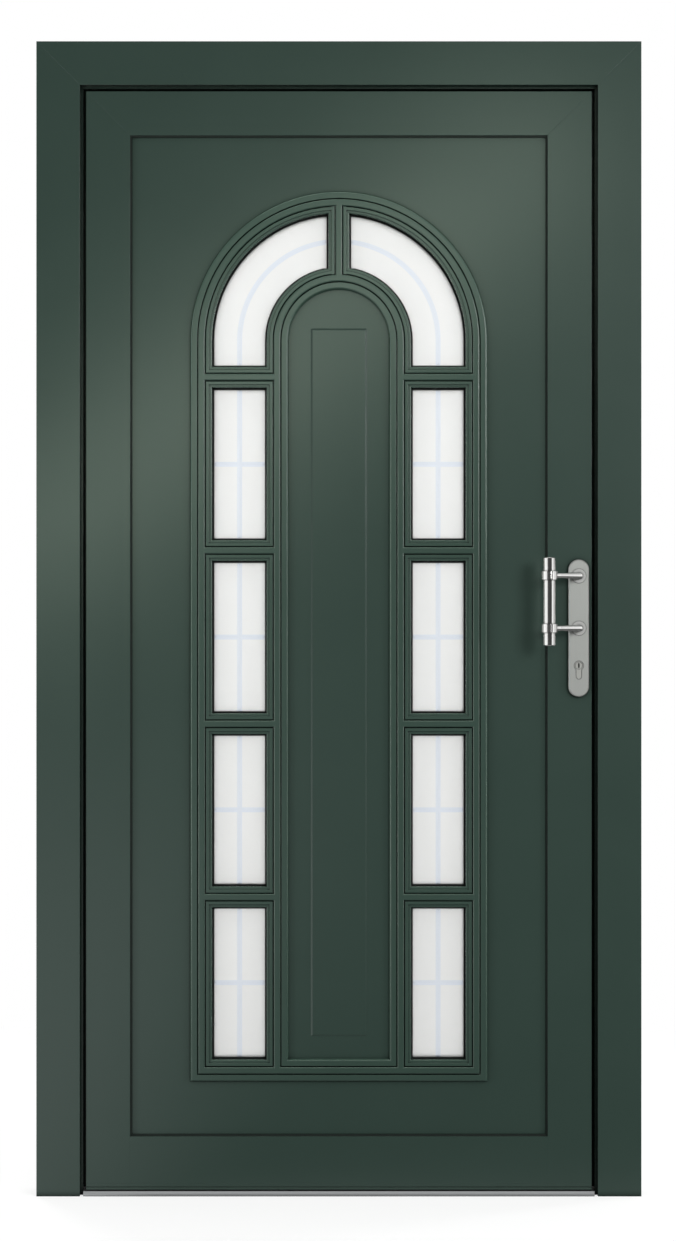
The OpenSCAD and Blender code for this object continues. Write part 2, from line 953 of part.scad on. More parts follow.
module pane_seals_inner() {
    color(rubber) pane_seals(glass_face_in, glass_face_in + seal_t);
}

// Infill panel

// Outline of the panel with the cut-outs for the panes
module panel_outline() {
    difference() {
        translate([-tube_half + panel_room, tube_bottom + panel_room])
            square([2 * (tube_half - panel_room), tube_top - tube_bottom - 2 * panel_room]);
        all_panes(pane_cover + pane_room);
    }
}

// The shallow raised field with its sloped edges
module raised_field() {
    foot = panel_out + sheet_t / 2;
    top_half = field_half - field_slope;
    top = panel_out - field_rise;
    intersection() {
        translate([0, 0, field_z0])
            linear_extrude(field_z1 - field_z0)
                polygon([
                    [-field_half, foot], [-field_half, panel_out], [-top_half, top],
                    [top_half, top], [field_half, panel_out], [field_half, foot]
                ]);
        along_x(frame_w)
            polygon([
                [foot, field_z0], [panel_out, field_z0], [top, field_z0 + field_slope],
                [top, field_z1 - field_slope], [panel_out, field_z1], [foot, field_z1]
            ]);
    }
}

module infill_outer_sheet() {
    color(green) {
        slab(panel_out, panel_out + sheet_t) panel_outline();
        raised_field();
    }
}

module infill_core() {
    color("#d8cfa8") slab(panel_out + sheet_t, panel_in - sheet_t) panel_outline();
}

module infill_inner_sheet() {
    color(green) slab(panel_in - sheet_t, panel_in) panel_outline();
}

// A rectangular gasket ring inside the edges given, showing past them
module gasket(y0, y1, half, z0, z1, show) {
    slab(y0, y1)
        difference() {
            translate([-half - gasket_grip, z0 - gasket_grip])
                square([2 * (half + gasket_grip), z1 - z0 + 2 * gasket_grip]);
            translate([-half + show, z0 + show]) square([2 * (half - show), z1 - z0 - 2 * show]);
        }
}

module infill_outer_gasket() {
    color(rubber) gasket(leaf_out + lip_t, panel_out, lip_half, bottom_face_z, lip_top, gasket_show);
}

module infill_inner_gasket() {
    color(rubber) gasket(panel_in, bead_y, bead_half, tube_bottom + bead_sight, tube_top - bead_sight, 1);
}

// Section of a glazing bead, v from the leaf tube inwards
module glazing_bead_section() {
    bead_wall = 2;
    bead_round = 4;
    difference() {
        polygon([
            [0, bead_y], [bead_sight, bead_y], [bead_sight, leaf_in - bead_round],
            [bead_sight - bead_round, leaf_in], [0, leaf_in]
        ]);
        translate([bead_wall, bead_y + bead_wall])
            square([bead_sight - bead_round - bead_wall, leaf_in - bead_y - 2 * bead_wall]);
    }
}

// The trapezoid of a mitred side bead, in x and z
module side_bead_mitre() {
    polygon([
        [-tube_half - over, tube_bottom - over], [-bead_half + over, tube_bottom + bead_sight + over],
        [-bead_half + over, tube_top - bead_sight - over], [-tube_half - over, tube_top + over]
    ]);
}

module glazing_beads_side() {
    color(green)
        for (s = [0, 1])
            mirror([s, 0, 0])
                intersection() {
                    translate([-tube_half, 0, 0]) linear_extrude(frame_h) glazing_bead_section();
                    slab(0, frame_d) side_bead_mitre();
                }
}

module glazing_beads_end() {
    color(green)
        difference() {
            union() {
                translate([-tube_half, 0, tube_top])
                    rotate([0, 90, 0])
                        linear_extrude(2 * tube_half) glazing_bead_section();
                translate([-tube_half, 0, tube_bottom])
                    mirror([0, 0, 1])
                        rotate([0, 90, 0])
                            linear_extrude(2 * tube_half) glazing_bead_section();
            }
            for (s = [0, 1]) mirror([s, 0, 0]) slab(0, frame_d) side_bead_mitre();
        }
}

// Moulding, drawn flat: x across, y up from the arch centre, z the height above the panel

// Points of a quarter round that rises to the right
function quarter_rise(x0, h0, r, steps) = [
    for (i = [0 : steps]) [x0 + r * (1 - cos(90 * i / steps)), h0 + r * sin(90 * i / steps)]
];

// Points of a quarter round that falls to the right
function quarter_fall(x0, h0, r, steps) = [
    for (i = [0 : steps]) [x0 + r * sin(90 * i / steps), h0 + r * cos(90 * i / steps)]
];

// Distance from a bead's middle line at which a bead that meets it ends
bead_stop = 1;
// How far a bead runs into the bead that it meets
bead_lap = bead_w / 2 - bead_stop;
round_steps = 5;
bead_points = concat(
    [[0, base_h], [quirk / 2, base_h]],
    quarter_rise(quirk / 2, bead_h - bead_round, bead_round, round_steps),
    quarter_fall(bead_w - quirk / 2 - bead_round, bead_h - bead_round, bead_round, round_steps),
    [[bead_w - quirk / 2, base_h], [bead_w, base_h]]
);
border_points = concat(
    [
        [bead_w, base_h], [bead_w + quirk / 2, base_h], [bead_w + quirk / 2, border_h - nick],
        [bead_w + quirk / 2 + nick, border_h]
    ],
    quarter_fall(
        bead_w + border_w - border_flank - border_round, border_h - border_round, border_round, round_steps
    ),
    [[bead_w + border_w, border_edge], [bead_w + border_w, 0]]
);

// Section of the outer edge: a flat bead, a groove and a border with a round shoulder
module edge_section() {
    polygon(concat([[0, 0]], bead_points, border_points));
}

// Section of a single bead, centred
module bead_section() {
    translate([-bead_w / 2, 0]) polygon(concat([[0, 0]], bead_points, [[bead_w, 0]]));
}

// Section of the ring round a pane, from the glass outwards: a round lip, a step and a flat land
module ring_section() {
    polygon(concat(
        [[0, -leg_h]],
        quarter_rise(0, lip_h - lip_round, lip_round, round_steps),
        [
            [lip_w, lip_h], [lip_w + nick, ring_h], [ring_w - quirk / 2 - nick, ring_h],
            [ring_w - quirk / 2, ring_h - nick], [ring_w - quirk / 2, base_h], [ring_w + ring_lap, base_h],
            [ring_w + ring_lap, 0], [leg_w, 0], [leg_w, -leg_h]
        ]
    ));
}

// A straight run down from y = 0, its section's x measured to the right
module run_down(length) {
    rotate([90, 0, 0]) linear_extrude(length) children();
}

// A straight run along x, its section's x measured downwards
module run_across(length) {
    translate([length / 2, 0, 0])
        rotate([0, 0, -90])
            run_down(length) children();
}

// An arch on two legs with a mitred bottom: half width and drop to the section's zero, reach of the section
module arch_loop(half, drop, reach) {
    rotate_extrude(angle = 180) translate([half, 0]) children();
    for (s = [0, 1])
        mirror([s, 0, 0])
            intersection() {
                translate([half, 0, 0]) run_down(drop + reach + over) children();
                mitre_prism([
                    [half - over, over], [half + reach + over, over],
                    [half + reach + over, -drop - reach - over], [half - over, -drop + over]
                ]);
            }
    intersection() {
        translate([0, -drop, 0]) run_across(2 * (half + reach + over)) children();
        mitre_prism([
            [-half + over, -drop + over], [half - over, -drop + over],
            [half + reach + over, -drop - reach - over], [-half - reach - over, -drop - reach - over]
        ]);
    }
}

// A tall prism over a plan outline, used to cut mitres
module mitre_prism(points) {
    translate([0, 0, -2 * leg_h]) linear_extrude(8 * leg_h) polygon(points);
}

// One side of a rectangular ring below the opening w by h, mitred at both ends
module ring_side(w, h) {
    intersection() {
        translate([0, -h / 2, 0]) run_across(w + 2 * ring_w + 2 * over) ring_section();
        mitre_prism([
            [-w / 2 + over, -h / 2 + over], [w / 2 - over, -h / 2 + over],
            [w / 2 + ring_w + over, -h / 2 - ring_w - over], [-w / 2 - ring_w - over, -h / 2 - ring_w - over]
        ]);
    }
}

// The mitred ring round one side pane
module side_ring() {
    for (s = [0, 1]) {
        mirror([0, s, 0]) ring_side(pane_w, pane_h);
        rotate([0, 0, 90]) mirror([0, s, 0]) ring_side(pane_h, pane_w);
    }
}

// The ring round the right arched pane: two arcs, two legs, a foot and a side at the mullion
module arch_ring() {
    top = glass_out + 2 * ring_w;
    intersection() {
        union() {
            rotate_extrude(angle = 90) translate([glass_out, 0]) ring_section();
            rotate_extrude(angle = 90) translate([glass_in, 0]) mirror([1, 0]) ring_section();
        }
        mitre_prism(arch_ring_plan(top));
    }
    for (x = [glass_in, glass_out])
        intersection() {
            translate([x, 0, 0])
                mirror([x == glass_in ? 1 : 0, 0, 0])
                    run_down(arch_foot + ring_w + over) ring_section();
            mitre_prism([
                [pane_x, over], [x == glass_in ? glass_in - top : glass_out + top, over],
                [x == glass_in ? glass_in - top : glass_out + top, -arch_foot - top],
                [x == glass_in ? glass_in + over : glass_out - over, -arch_foot + over],
                [pane_x, -arch_foot + over]
            ]);
        }
    translate([pane_x, -arch_foot + pane_h / 2, 0]) ring_side(pane_w, pane_h);
    difference() {
        intersection() {
            translate([mullion_half, top, 0]) mirror([1, 0, 0]) run_down(top) ring_section();
            mitre_prism([
                [-over, centre_half], [mullion_half + over, centre_half],
                [mullion_half + over, top], [-over, top]
            ]);
        }
        past_arcs(top, ring_w, 6 * leg_h);
        past_arcs(top, leg_w, 0);
    }
}

// Plan of the area that the arcs of the arched ring keep, right of the mullion's ring
function arch_ring_plan(top) = [
    [mullion_half, -over], [top, -over], [top, top], [0, top],
    [mullion_half - ring_w, glass_out + ring_w + over], [mullion_half, glass_out],
    [mullion_half, glass_in], [mullion_half - ring_w, glass_in - ring_w - over], [mullion_half - ring_w, 0]
];

// What lies more than g past the arcs of the arched pane, up to the height z1
module past_arcs(top, g, z1) {
    translate([0, 0, -2 * leg_h])
        linear_extrude(2 * leg_h + z1) {
            difference() {
                square(2 * top, center = true);
                circle(glass_out + g);
            }
            circle(glass_in - g);
        }
}

// The whole moulding, lying flat on the panel
module flat_moulding() {
    drop = arch_z - frame_z0;
    sides = outer_half - centre_half - bead_w;
    arch_loop(outer_half, drop, bead_w + border_w) edge_section();
    centre_loop(drop);
    translate([0, outer_half + bead_lap, 0]) run_down(sides + 2 * bead_lap) bead_section();
    for (s = [0, 1])
        mirror([s, 0, 0]) {
            arch_ring();
            for (row = pane_rows) {
                translate([pane_x, pane_z0 + row * pitch + pane_h / 2 - arch_z, 0]) side_ring();
                translate([pane_x, pane_z0 + row * pitch + pane_h + mullion_half - arch_z, 0])
                    run_across(sides + 2 * bead_lap) bead_section();
            }
        }
}

// The inner arch: its bead stands on the bottom bead, its border turns the corner
module centre_loop(drop) {
    rotate_extrude(angle = 180) translate([centre_half + bead_w / 2, 0]) bead_section();
    for (s = [-1, 1])
        translate([s * (centre_half + bead_w / 2), 0, 0]) run_down(drop + bead_lap) bead_section();
    arch_loop(centre_half - border_w, drop - border_w, border_w) centre_border_section();
}

// Section of the centre panel's border, falling towards the panel
module centre_border_section() {
    translate([border_w + bead_w, 0])
        mirror([1, 0])
            polygon(concat([[bead_w, 0]], border_points));
}

module outer_moulding() {
    color(green)
        translate([0, panel_out, arch_z]) rotate([90, 0, 0]) flat_moulding();
}

module inner_moulding() {
    color(green)
        translate([0, panel_in, arch_z]) mirror([0, 1, 0]) rotate([90, 0, 0]) flat_moulding();
}

// Lock

module lock_faceplate() {
    color(steel)
        difference() {
            box([case_front, lock_y - strip_w / 2, faceplate_z[0]],
                [flange_half, lock_y + strip_w / 2, faceplate_z[1]]);
            bolt_ways(case_front - over, flange_half + over, room);
            faceplate_screw_places() countersunk_hole(screw_l);
        }
}

// The ways of all bolts between two planes, with some play
module bolt_ways(x0, x1, play) {
    for (p = concat([[latch_z, latch_h], [dead_z, dead_h]], [for (z = side_bolt_z) [z, side_bolt_h]]))
        box([x0, lock_y - bolt_y / 2 - play, p[0] - p[1] / 2 - play],
            [x1, lock_y + bolt_y / 2 + play, p[0] + p[1] / 2 + play]);
}

module faceplate_screws() {
    color(steel) faceplate_screw_places() countersunk(screw_r, screw_head_r, screw_head_h, screw_l);
}

// A hollow sheet steel case behind the faceplate
module hollow_case(depth, z0, z1) {
    difference() {
        box([case_front - depth, lock_y - case_t / 2, z0], [case_front, lock_y + case_t / 2, z1]);
        box([case_front - depth + case_wall, lock_y - case_t / 2 + case_wall, z0 + case_wall],
            [case_front - case_wall, lock_y + case_t / 2 - case_wall, z1 - case_wall]);
        bolt_ways(case_front - case_wall - over, case_front + over, room);
    }
}

module lock_case() {
    color(steel)
        difference() {
            hollow_case(case_depth, case_z0, case_z1);
            cylinder_way(room, lock_y - case_t, lock_y + case_t);
            rod_y_between(axis_x, lever_z, spindle_room, lock_y - case_t, lock_y + case_t);
        }
}

module bolt_cases() {
    color(steel)
        for (z = side_bolt_z) hollow_case(side_case_depth, z - side_case_h / 2, z + side_case_h / 2);
}

// A square-fronted bolt at height z
module bolt(z, height) {
    box([bolt_face_x - bolt_tail, lock_y - bolt_y / 2, z - height / 2],
        [bolt_face_x, lock_y + bolt_y / 2, z + height / 2]);
}

module dead_bolt() {
    color(steel) bolt(dead_z, dead_h);
}

module upper_bolt() {
    color(steel) bolt(side_bolt_z[1], side_bolt_h);
}

module lower_bolt() {
    color(steel) bolt(side_bolt_z[0], side_bolt_h);
}

module latch_bolt() {
    color(steel)
        translate([0, 0, latch_z - latch_h / 2])
            linear_extrude(latch_h)
                polygon([
                    [flange_half - latch_tail, lock_y - bolt_y / 2], [flange_half, lock_y - bolt_y / 2],
                    [flange_half + latch_out, lock_y + bolt_y / 2 - latch_tip],
                    [flange_half + latch_out, lock_y + bolt_y / 2],
                    [flange_half - latch_tail, lock_y + bolt_y / 2]
                ]);
}

module drive_rod() {
    color(steel) box([rod_x - rod_t, rod_y, rod_z[0]], [rod_x, rod_y + rod_w, rod_z[1]]);
}

module cylinder_body() {
    color("#c9c6b8")
        difference() {
            cylinder_way(0, plate_out_y, plate_in_y);
            rod_y_between(axis_x, cylinder_z, plug_r, plate_out_y - over, plate_in_y + over);
            rod_y_between(axis_x, cylinder_z, cam_gap_r, lock_y - cam_gap / 2, lock_y + cam_gap / 2);
        }
}

module cylinder_plug() {
    inset = 0.4;
    color("#c9c6b8")
        difference() {
            union() {
                rod_y_between(axis_x, cylinder_z, plug_r - running, plate_out_y + inset, plate_in_y - inset);
                rod_y_between(axis_x, cylinder_z, profile_r, lock_y - cam_w / 2, lock_y + cam_w / 2);
                box([axis_x - cam_w / 2, lock_y - cam_w / 2, cylinder_z - cam_drop],
                    [axis_x + cam_w / 2, lock_y + cam_w / 2, cylinder_z]);
            }
            for (y = [plate_out_y, plate_in_y])
                box([axis_x - keyway_w / 2, y - keyway_d, cylinder_z - keyway_h / 2],
                    [axis_x + keyway_w / 2, y + keyway_d, cylinder_z + keyway_h / 2]);
        }
}

// Handle set

// A plate with round ends and a chamfered front edge, lying on z = 0, long side along y
module handle_plate() {
    r = plate_w / 2;
    half = plate_l / 2 - r;
    flat_t = plate_t - plate_edge;
    for (s = [-1, 1])
        translate([0, s * half, 0]) {
            cylinder(r = r, h = flat_t);
            translate([0, 0, flat_t]) cylinder(r1 = r, r2 = r - plate_edge, h = plate_edge);
        }
    translate([0, half, 0])
        rotate([90, 0, 0])
            linear_extrude(2 * half)
                polygon([
                    [-r, 0], [r, 0], [r, flat_t], [r - plate_edge, plate_t],
                    [plate_edge - r, plate_t], [-r, flat_t]
                ]);
}

module outer_plate() {
    color(steel)
        difference() {
            translate([axis_x, leaf_out, plate_z]) rotate([90, 0, 0]) handle_plate();
            cylinder_way(room, plate_out_y - over, leaf_out + over);
            plate_screw_ways(plate_screw_r + running, plate_out_y + plate_t / 3, leaf_out + over);
        }
}

module inner_plate() {
    color(steel)
        difference() {
            translate([axis_x, leaf_in, plate_z]) mirror([0, 1, 0]) rotate([90, 0, 0]) handle_plate();
            cylinder_way(room, leaf_in - over, plate_in_y + over);
            rod_y_between(axis_x, lever_z, neck_r + running, leaf_in - over, plate_in_y + over);
            plate_screw_places() plate_screw_hole();
        }
}

// Places a child at each through screw, head towards the room
module plate_screw_places() {
    for (s = [-1, 1])
        translate([axis_x, plate_in_y, plate_z + s * plate_screw_off]) rotate([-90, 0, 0]) children();
}

// The countersunk hole of a through screw in the inner plate
module plate_screw_hole() {
    head_h = plate_screw_head - plate_screw_r;
    translate([0, 0, -head_h])
        cylinder(r1 = plate_screw_r + running, r2 = plate_screw_head + running, h = head_h);
    translate([0, 0, -plate_t - over]) cylinder(r = plate_screw_r + running, h = plate_t + 2 * over);
}

module plate_screws() {
    color(steel)
        plate_screw_places()
            countersunk(plate_screw_r, plate_screw_head, plate_screw_head - plate_screw_r,
                        plate_in_y - plate_out_y - plate_t / 2);
}

module pull_bar() {
    color(steel)
        translate([bar_x, bar_y, bar_z - bar_l / 2]) {
            cylinder(r1 = bar_r - bar_edge, r2 = bar_r, h = bar_edge);
            translate([0, 0, bar_edge]) cylinder(r = bar_r, h = bar_l - 2 * bar_edge);
            translate([0, 0, bar_l - bar_edge]) cylinder(r1 = bar_r, r2 = bar_r - bar_edge, h = bar_edge);
        }
}

// One arm of the pull: rosette, post, bent arm, boss and the collar that grips the bar
module pull_arm(z) {
    elbow_y = plate_out_y - rosette_t - post_l;
    reach = norm([axis_x - bar_x, elbow_y - bar_y]);
    turn = atan2(bar_y - elbow_y, bar_x - axis_x);
    difference() {
        union() {
            rod_y_between(axis_x, z, rosette_r, plate_out_y - rosette_t, plate_out_y);
            rod_y_between(axis_x, z, post_r, elbow_y, plate_out_y - rosette_t);
            translate([axis_x, elbow_y, z]) {
                sphere(post_r);
                rotate([0, 90, turn]) {
                    cylinder(r1 = post_r, r2 = arm_r, h = reach);
                    translate([0, 0, reach - collar_r - boss_l]) cylinder(r = boss_r, h = boss_l + collar_r);
                }
            }
            translate([bar_x, bar_y, z - collar_h / 2]) cylinder(r = collar_r, h = collar_h);
        }
        translate([bar_x, bar_y, z - collar_h]) cylinder(r = bar_r + running, h = 2 * collar_h);
    }
}

module pull_arm_upper() {
    color(steel) pull_arm(arm_z[1]);
}

module pull_arm_lower() {
    color(steel) pull_arm(arm_z[0]);
}

module lever_handle() {
    elbow_y = plate_in_y + neck_out;
    color(steel)
        difference() {
            union() {
                rod_y_between(axis_x, lever_z, neck_r, leaf_in + room, elbow_y);
                translate([axis_x, elbow_y, lever_z]) sphere(grip_r);
                rod_x_between(elbow_y, lever_z, grip_r, axis_x - lever_l, axis_x);
                translate([axis_x - lever_l, elbow_y, lever_z]) sphere(grip_r);
            }
            spindle_bar(spindle_w + 2 * running, leaf_in - over, plate_in_y + neck_out / 2);
        }
}

// The square bar of the lever between two planes
module spindle_bar(w, y0, y1) {
    box([axis_x - w / 2, y0, lever_z - w / 2], [axis_x + w / 2, y1, lever_z + w / 2]);
}

module spindle() {
    color(steel) spindle_bar(spindle_w, shoulder_y + wall + over, plate_in_y + neck_out / 2 - over);
}

hinge_jamb();
lock_jamb();
frame_head();
frame_corner_cleats();
threshold();
frame_seal();
main_strike();
bolt_strikes();
strike_screws();
hinge_frame_part_top();
hinge_frame_part_middle();
hinge_frame_part_bottom();
hinge_pins();
hinge_frame_screws();
hinge_stile();
lock_stile();
top_rail();
bottom_rail();
leaf_corner_cleats();
bottom_seal_carrier();
bottom_seal();
infill_outer_sheet();
infill_core();
infill_inner_sheet();
infill_outer_gasket();
infill_inner_gasket();
glazing_beads_side();
glazing_beads_end();
outer_moulding();
inner_moulding();
pane_seals_outer();
pane_seals_inner();
arch_pane_left();
arch_pane_right();
side_panes_left();
side_panes_right();
hinge_leaf_part_top();
hinge_leaf_part_middle();
hinge_leaf_part_bottom();
hinge_leaf_screws();
lock_faceplate();
faceplate_screws();
lock_case();
bolt_cases();
outer_plate();
pull_bar();
pull_arm_upper();
pull_arm_lower();
cylinder_body();
inner_plate();
plate_screws();
lever_handle();
spindle();
latch_bolt();
cylinder_plug();
dead_bolt();
upper_bolt();
lower_bolt();
drive_rod();
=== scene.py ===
"""Looks of a panelled front door with its frame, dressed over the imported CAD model."""

import logging
import math
from dataclasses import dataclass, field
from enum import Enum
from typing import Any, Protocol

import bpy
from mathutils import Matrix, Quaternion, Vector

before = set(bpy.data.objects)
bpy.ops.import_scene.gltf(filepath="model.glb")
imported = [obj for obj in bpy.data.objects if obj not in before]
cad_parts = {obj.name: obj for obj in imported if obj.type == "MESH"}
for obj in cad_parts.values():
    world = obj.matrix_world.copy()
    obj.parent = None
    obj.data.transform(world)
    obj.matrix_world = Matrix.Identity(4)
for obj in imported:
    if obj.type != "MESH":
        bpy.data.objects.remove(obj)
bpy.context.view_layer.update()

LOG = logging.getLogger("door")
MM = 0.001
EDGE_SAMPLES = 6
WHITE = (1.0, 1.0, 1.0, 1.0)
Point = tuple[float, float, float]
Colour = tuple[float, float, float, float]
Span = tuple[float, float]


class Grain(Enum):
    """Direction in which a metal was brushed, rolled, extruded or turned."""

    ACROSS = (0.02, 1.0, 1.0)
    DEEP = (1.0, 0.02, 1.0)
    UPRIGHT = (1.0, 1.0, 0.02)
    ROUND = (0.02, 0.02, 1.0)


def linear(colour: str) -> Colour:
    """Turns an sRGB hex colour to linear light.

    Args:
        colour: six hex digits with a leading hash sign.

    Returns:
        Red, green, blue and an alpha of one.
    """
    parts = [int(colour[i : i + 2], 16) / 255 for i in (1, 3, 5)]
    red, green, blue = (c / 12.92 if c <= 0.04045 else ((c + 0.055) / 1.055) ** 2.4 for c in parts)
    return red, green, blue, 1.0


def shades(colour: str, low: float, high: float) -> tuple[Colour, Colour]:
    """Makes two shades of a colour.

    Args:
        colour: six hex digits with a leading hash sign.
        low: factor of the darker shade.
        high: factor of the lighter shade.

    Returns:
        The darker and the lighter shade in linear light.
    """
    base = linear(colour)[:3]
    darker, lighter = (tuple(min(1.0, c * share) for c in base) + (1.0,) for share in (low, high))
    return darker, lighter


def add(
    tree: bpy.types.NodeTree, kind: str, settings: dict[str, Any], inputs: dict[Any, Any]
) -> bpy.types.Node:
    """Adds one node with its settings, values and links.

    Args:
        tree: the node tree that gets the node.
        kind: Blender's type name of the node.
        settings: attributes of the node.
        inputs: socket name or number to a value, or to the output socket that feeds it.

    Returns:
        The new node.
    """
    node = tree.nodes.new(kind)
    for name, value in settings.items():
        setattr(node, name, value)
    for name, value in inputs.items():
        if isinstance(value, bpy.types.NodeSocket):
            tree.links.new(value, node.inputs[name])
        else:
            node.inputs[name].default_value = value
    return node


class Finish(Protocol):
    """Anything that can make a material."""

    name: str

    def make(self) -> bpy.types.Material:
        """Returns the finished material."""


def blank(name: str) -> tuple[bpy.types.Material, bpy.types.NodeTree, bpy.types.Node, bpy.types.NodeSocket]:
    """Starts a material with one Principled shader.

    Args:
        name: name of the material.

    Returns:
        The material, its tree, its shader and object coordinates in metres.
    """
    material = bpy.data.materials.new(name)
    material.use_nodes = True
    tree = material.node_tree
    shader = tree.nodes["Principled BSDF"]
    place = add(tree, "ShaderNodeTexCoord", {}, {}).outputs["Object"]
    return material, tree, shader, place


def painted_recess_shade(tree: bpy.types.NodeTree, reach: float, dim: float, span: Span) -> bpy.types.NodeSocket:
    """Paints shade on what lies in a groove, a slot or a corner.

    Args:
        tree: the node tree that gets the nodes.
        reach: how far from a wall the surface is still dimmed, in metres.
        dim: share of the light that is left in the depth.
        span: openness at which the dimming is full, and at which it ends.

    Returns:
        A painted-shade factor for the colour, one in the open.
    """
    openness = add(tree, "ShaderNodeAmbientOcclusion", {"samples": EDGE_SAMPLES}, {"Distance": reach})
    deep, clear = span
    return add(
        tree,
        "ShaderNodeMapRange",
        {"clamp": True},
        {"Value": openness.outputs["AO"], "From Min": deep, "From Max": clear, "To Min": dim, "To Max": 1.0},
    ).outputs["Result"]


def joint_dim(tree: bpy.types.NodeTree, width: float, dim: float, reach: float) -> bpy.types.NodeSocket:
    """Darkens a fine line along every edge and joint of fitted metal, and paints shade in its slots.

    Args:
        tree: the node tree that gets the nodes.
        width: width of the line in metres.
        dim: share of the light that the line keeps.
        reach: how far from a wall the painted shade in a slot reaches, in metres.

    Returns:
        A factor for the colour, one away from the edges.
    """
    at_edge, off_edge = 0.85, 0.98
    slot_shade_dim, slot_shade_span = 0.1, (0.35, 0.8)
    rounded = add(tree, "ShaderNodeBevel", {"samples": EDGE_SAMPLES}, {"Radius": width})
    flat = add(tree, "ShaderNodeNewGeometry", {}, {}).outputs["True Normal"]
    along = add(
        tree, "ShaderNodeVectorMath", {"operation": "DOT_PRODUCT"}, {0: rounded.outputs["Normal"], 1: flat}
    )
    line = add(
        tree,
        "ShaderNodeMapRange",
        {"clamp": True},
        {
            "Value": along.outputs["Value"],
            "From Min": at_edge,
            "From Max": off_edge,
            "To Min": dim,
            "To Max": 1.0,
        },
    )
    # Painted shade in slots and beside raised parts.
    slot = painted_recess_shade(tree, reach, slot_shade_dim, slot_shade_span)
    return add(
        tree, "ShaderNodeMath", {"operation": "MULTIPLY"}, {0: line.outputs["Result"], 1: slot}
    ).outputs["Value"]


@dataclass(frozen=True)
class PowderCoat:
    """Polyester powder, sprayed dry on aluminium and cured in an oven.

    The eye sees a closed satin film with a faint orange peel and a soft, broad highlight. The film rounds
    each arris, so that it catches a thin bright line; grooves and the panel beside the moulding get painted
    shade.
    """

    name: str
    colour: str
    roughness: float = 0.22
    arris_mm: float = 0.9
    painted_shade_reach_mm: float = 5.0
    painted_shade_dim: float = 0.12
    painted_shade_span: Span = (0.4, 0.85)
    cloud_share: float = 0.05
    gloss_spread: float = 0.02
    peel_mm: float = 2.4
    peel_height_mm: float = 0.006
    cloud_mm: float = 160.0
    wave_mm: float = 520.0
    wave_height_mm: float = 0.0

    def make(self) -> bpy.types.Material:
        """Returns the powder coat as a material."""
        material, tree, shader, place = blank(self.name)
        cloud = add(
            tree,
            "ShaderNodeTexNoise",
            {},
            {"Vector": place, "Scale": 1 / (self.cloud_mm * MM), "Detail": 3.0},
        )
        darker, lighter = shades(self.colour, 1 - self.cloud_share, 1 + self.cloud_share)
        tone = add(
            tree,
            "ShaderNodeMix",
            {"data_type": "RGBA"},
            {"Factor": cloud.outputs["Fac"], "A": darker, "B": lighter},
        )
        # Painted shade: the coat's colour is darkened in grooves, recesses and beside raised parts.
        painted_shade_factor = painted_recess_shade(tree, self.painted_shade_reach_mm * MM, self.painted_shade_dim, self.painted_shade_span)
        paint = add(
            tree,
            "ShaderNodeMix",
            {"data_type": "RGBA", "blend_type": "MULTIPLY"},
            {"Factor": 1.0, "A": tone.outputs["Result"], "B": painted_shade_factor},
        )
        gloss = add(
            tree,
            "ShaderNodeMapRange",
            {},
            {
                "Value": cloud.outputs["Fac"],
                "To Min": self.roughness - self.gloss_spread,
                "To Max": self.roughness + self.gloss_spread,
            },
        )
        arris = add(tree, "ShaderNodeBevel", {"samples": EDGE_SAMPLES}, {"Radius": self.arris_mm * MM})
        # A real peel is about 1 mm across; it is drawn coarser so that it shows.
        peel = add(
            tree,
            "ShaderNodeTexNoise",
            {},
            {"Vector": place, "Scale": 1 / (self.peel_mm * MM), "Detail": 1.0},
        )
        bump = add(
            tree,
            "ShaderNodeBump",
            {},
            {
                "Height": peel.outputs["Fac"],
                "Distance": self.peel_height_mm * MM,
                "Strength": 1.0,
                "Normal": arris.outputs["Normal"],
            },
        )
        if self.wave_height_mm > 0:
            wave = add(
                tree,
                "ShaderNodeTexNoise",
                {},
                {"Vector": place, "Scale": 1 / (self.wave_mm * MM), "Detail": 0.0},
            )
            bump = add(
                tree,
                "ShaderNodeBump",
                {},
                {
                    "Height": wave.outputs["Fac"],
                    "Distance": self.wave_height_mm * MM,
                    "Strength": 1.0,
                    "Normal": bump.outputs["Normal"],
                },
            )
        tree.links.new(paint.outputs["Result"], shader.inputs["Base Color"])
        # The painted shade also dims the specular tint.
        tree.links.new(painted_shade_factor, shader.inputs["Specular Tint"])
        tree.links.new(gloss.outputs["Result"], shader.inputs["Roughness"])
        tree.links.new(bump.outputs["Normal"], shader.inputs["Normal"])
        shader.inputs["IOR"].default_value = 1.5
        return material


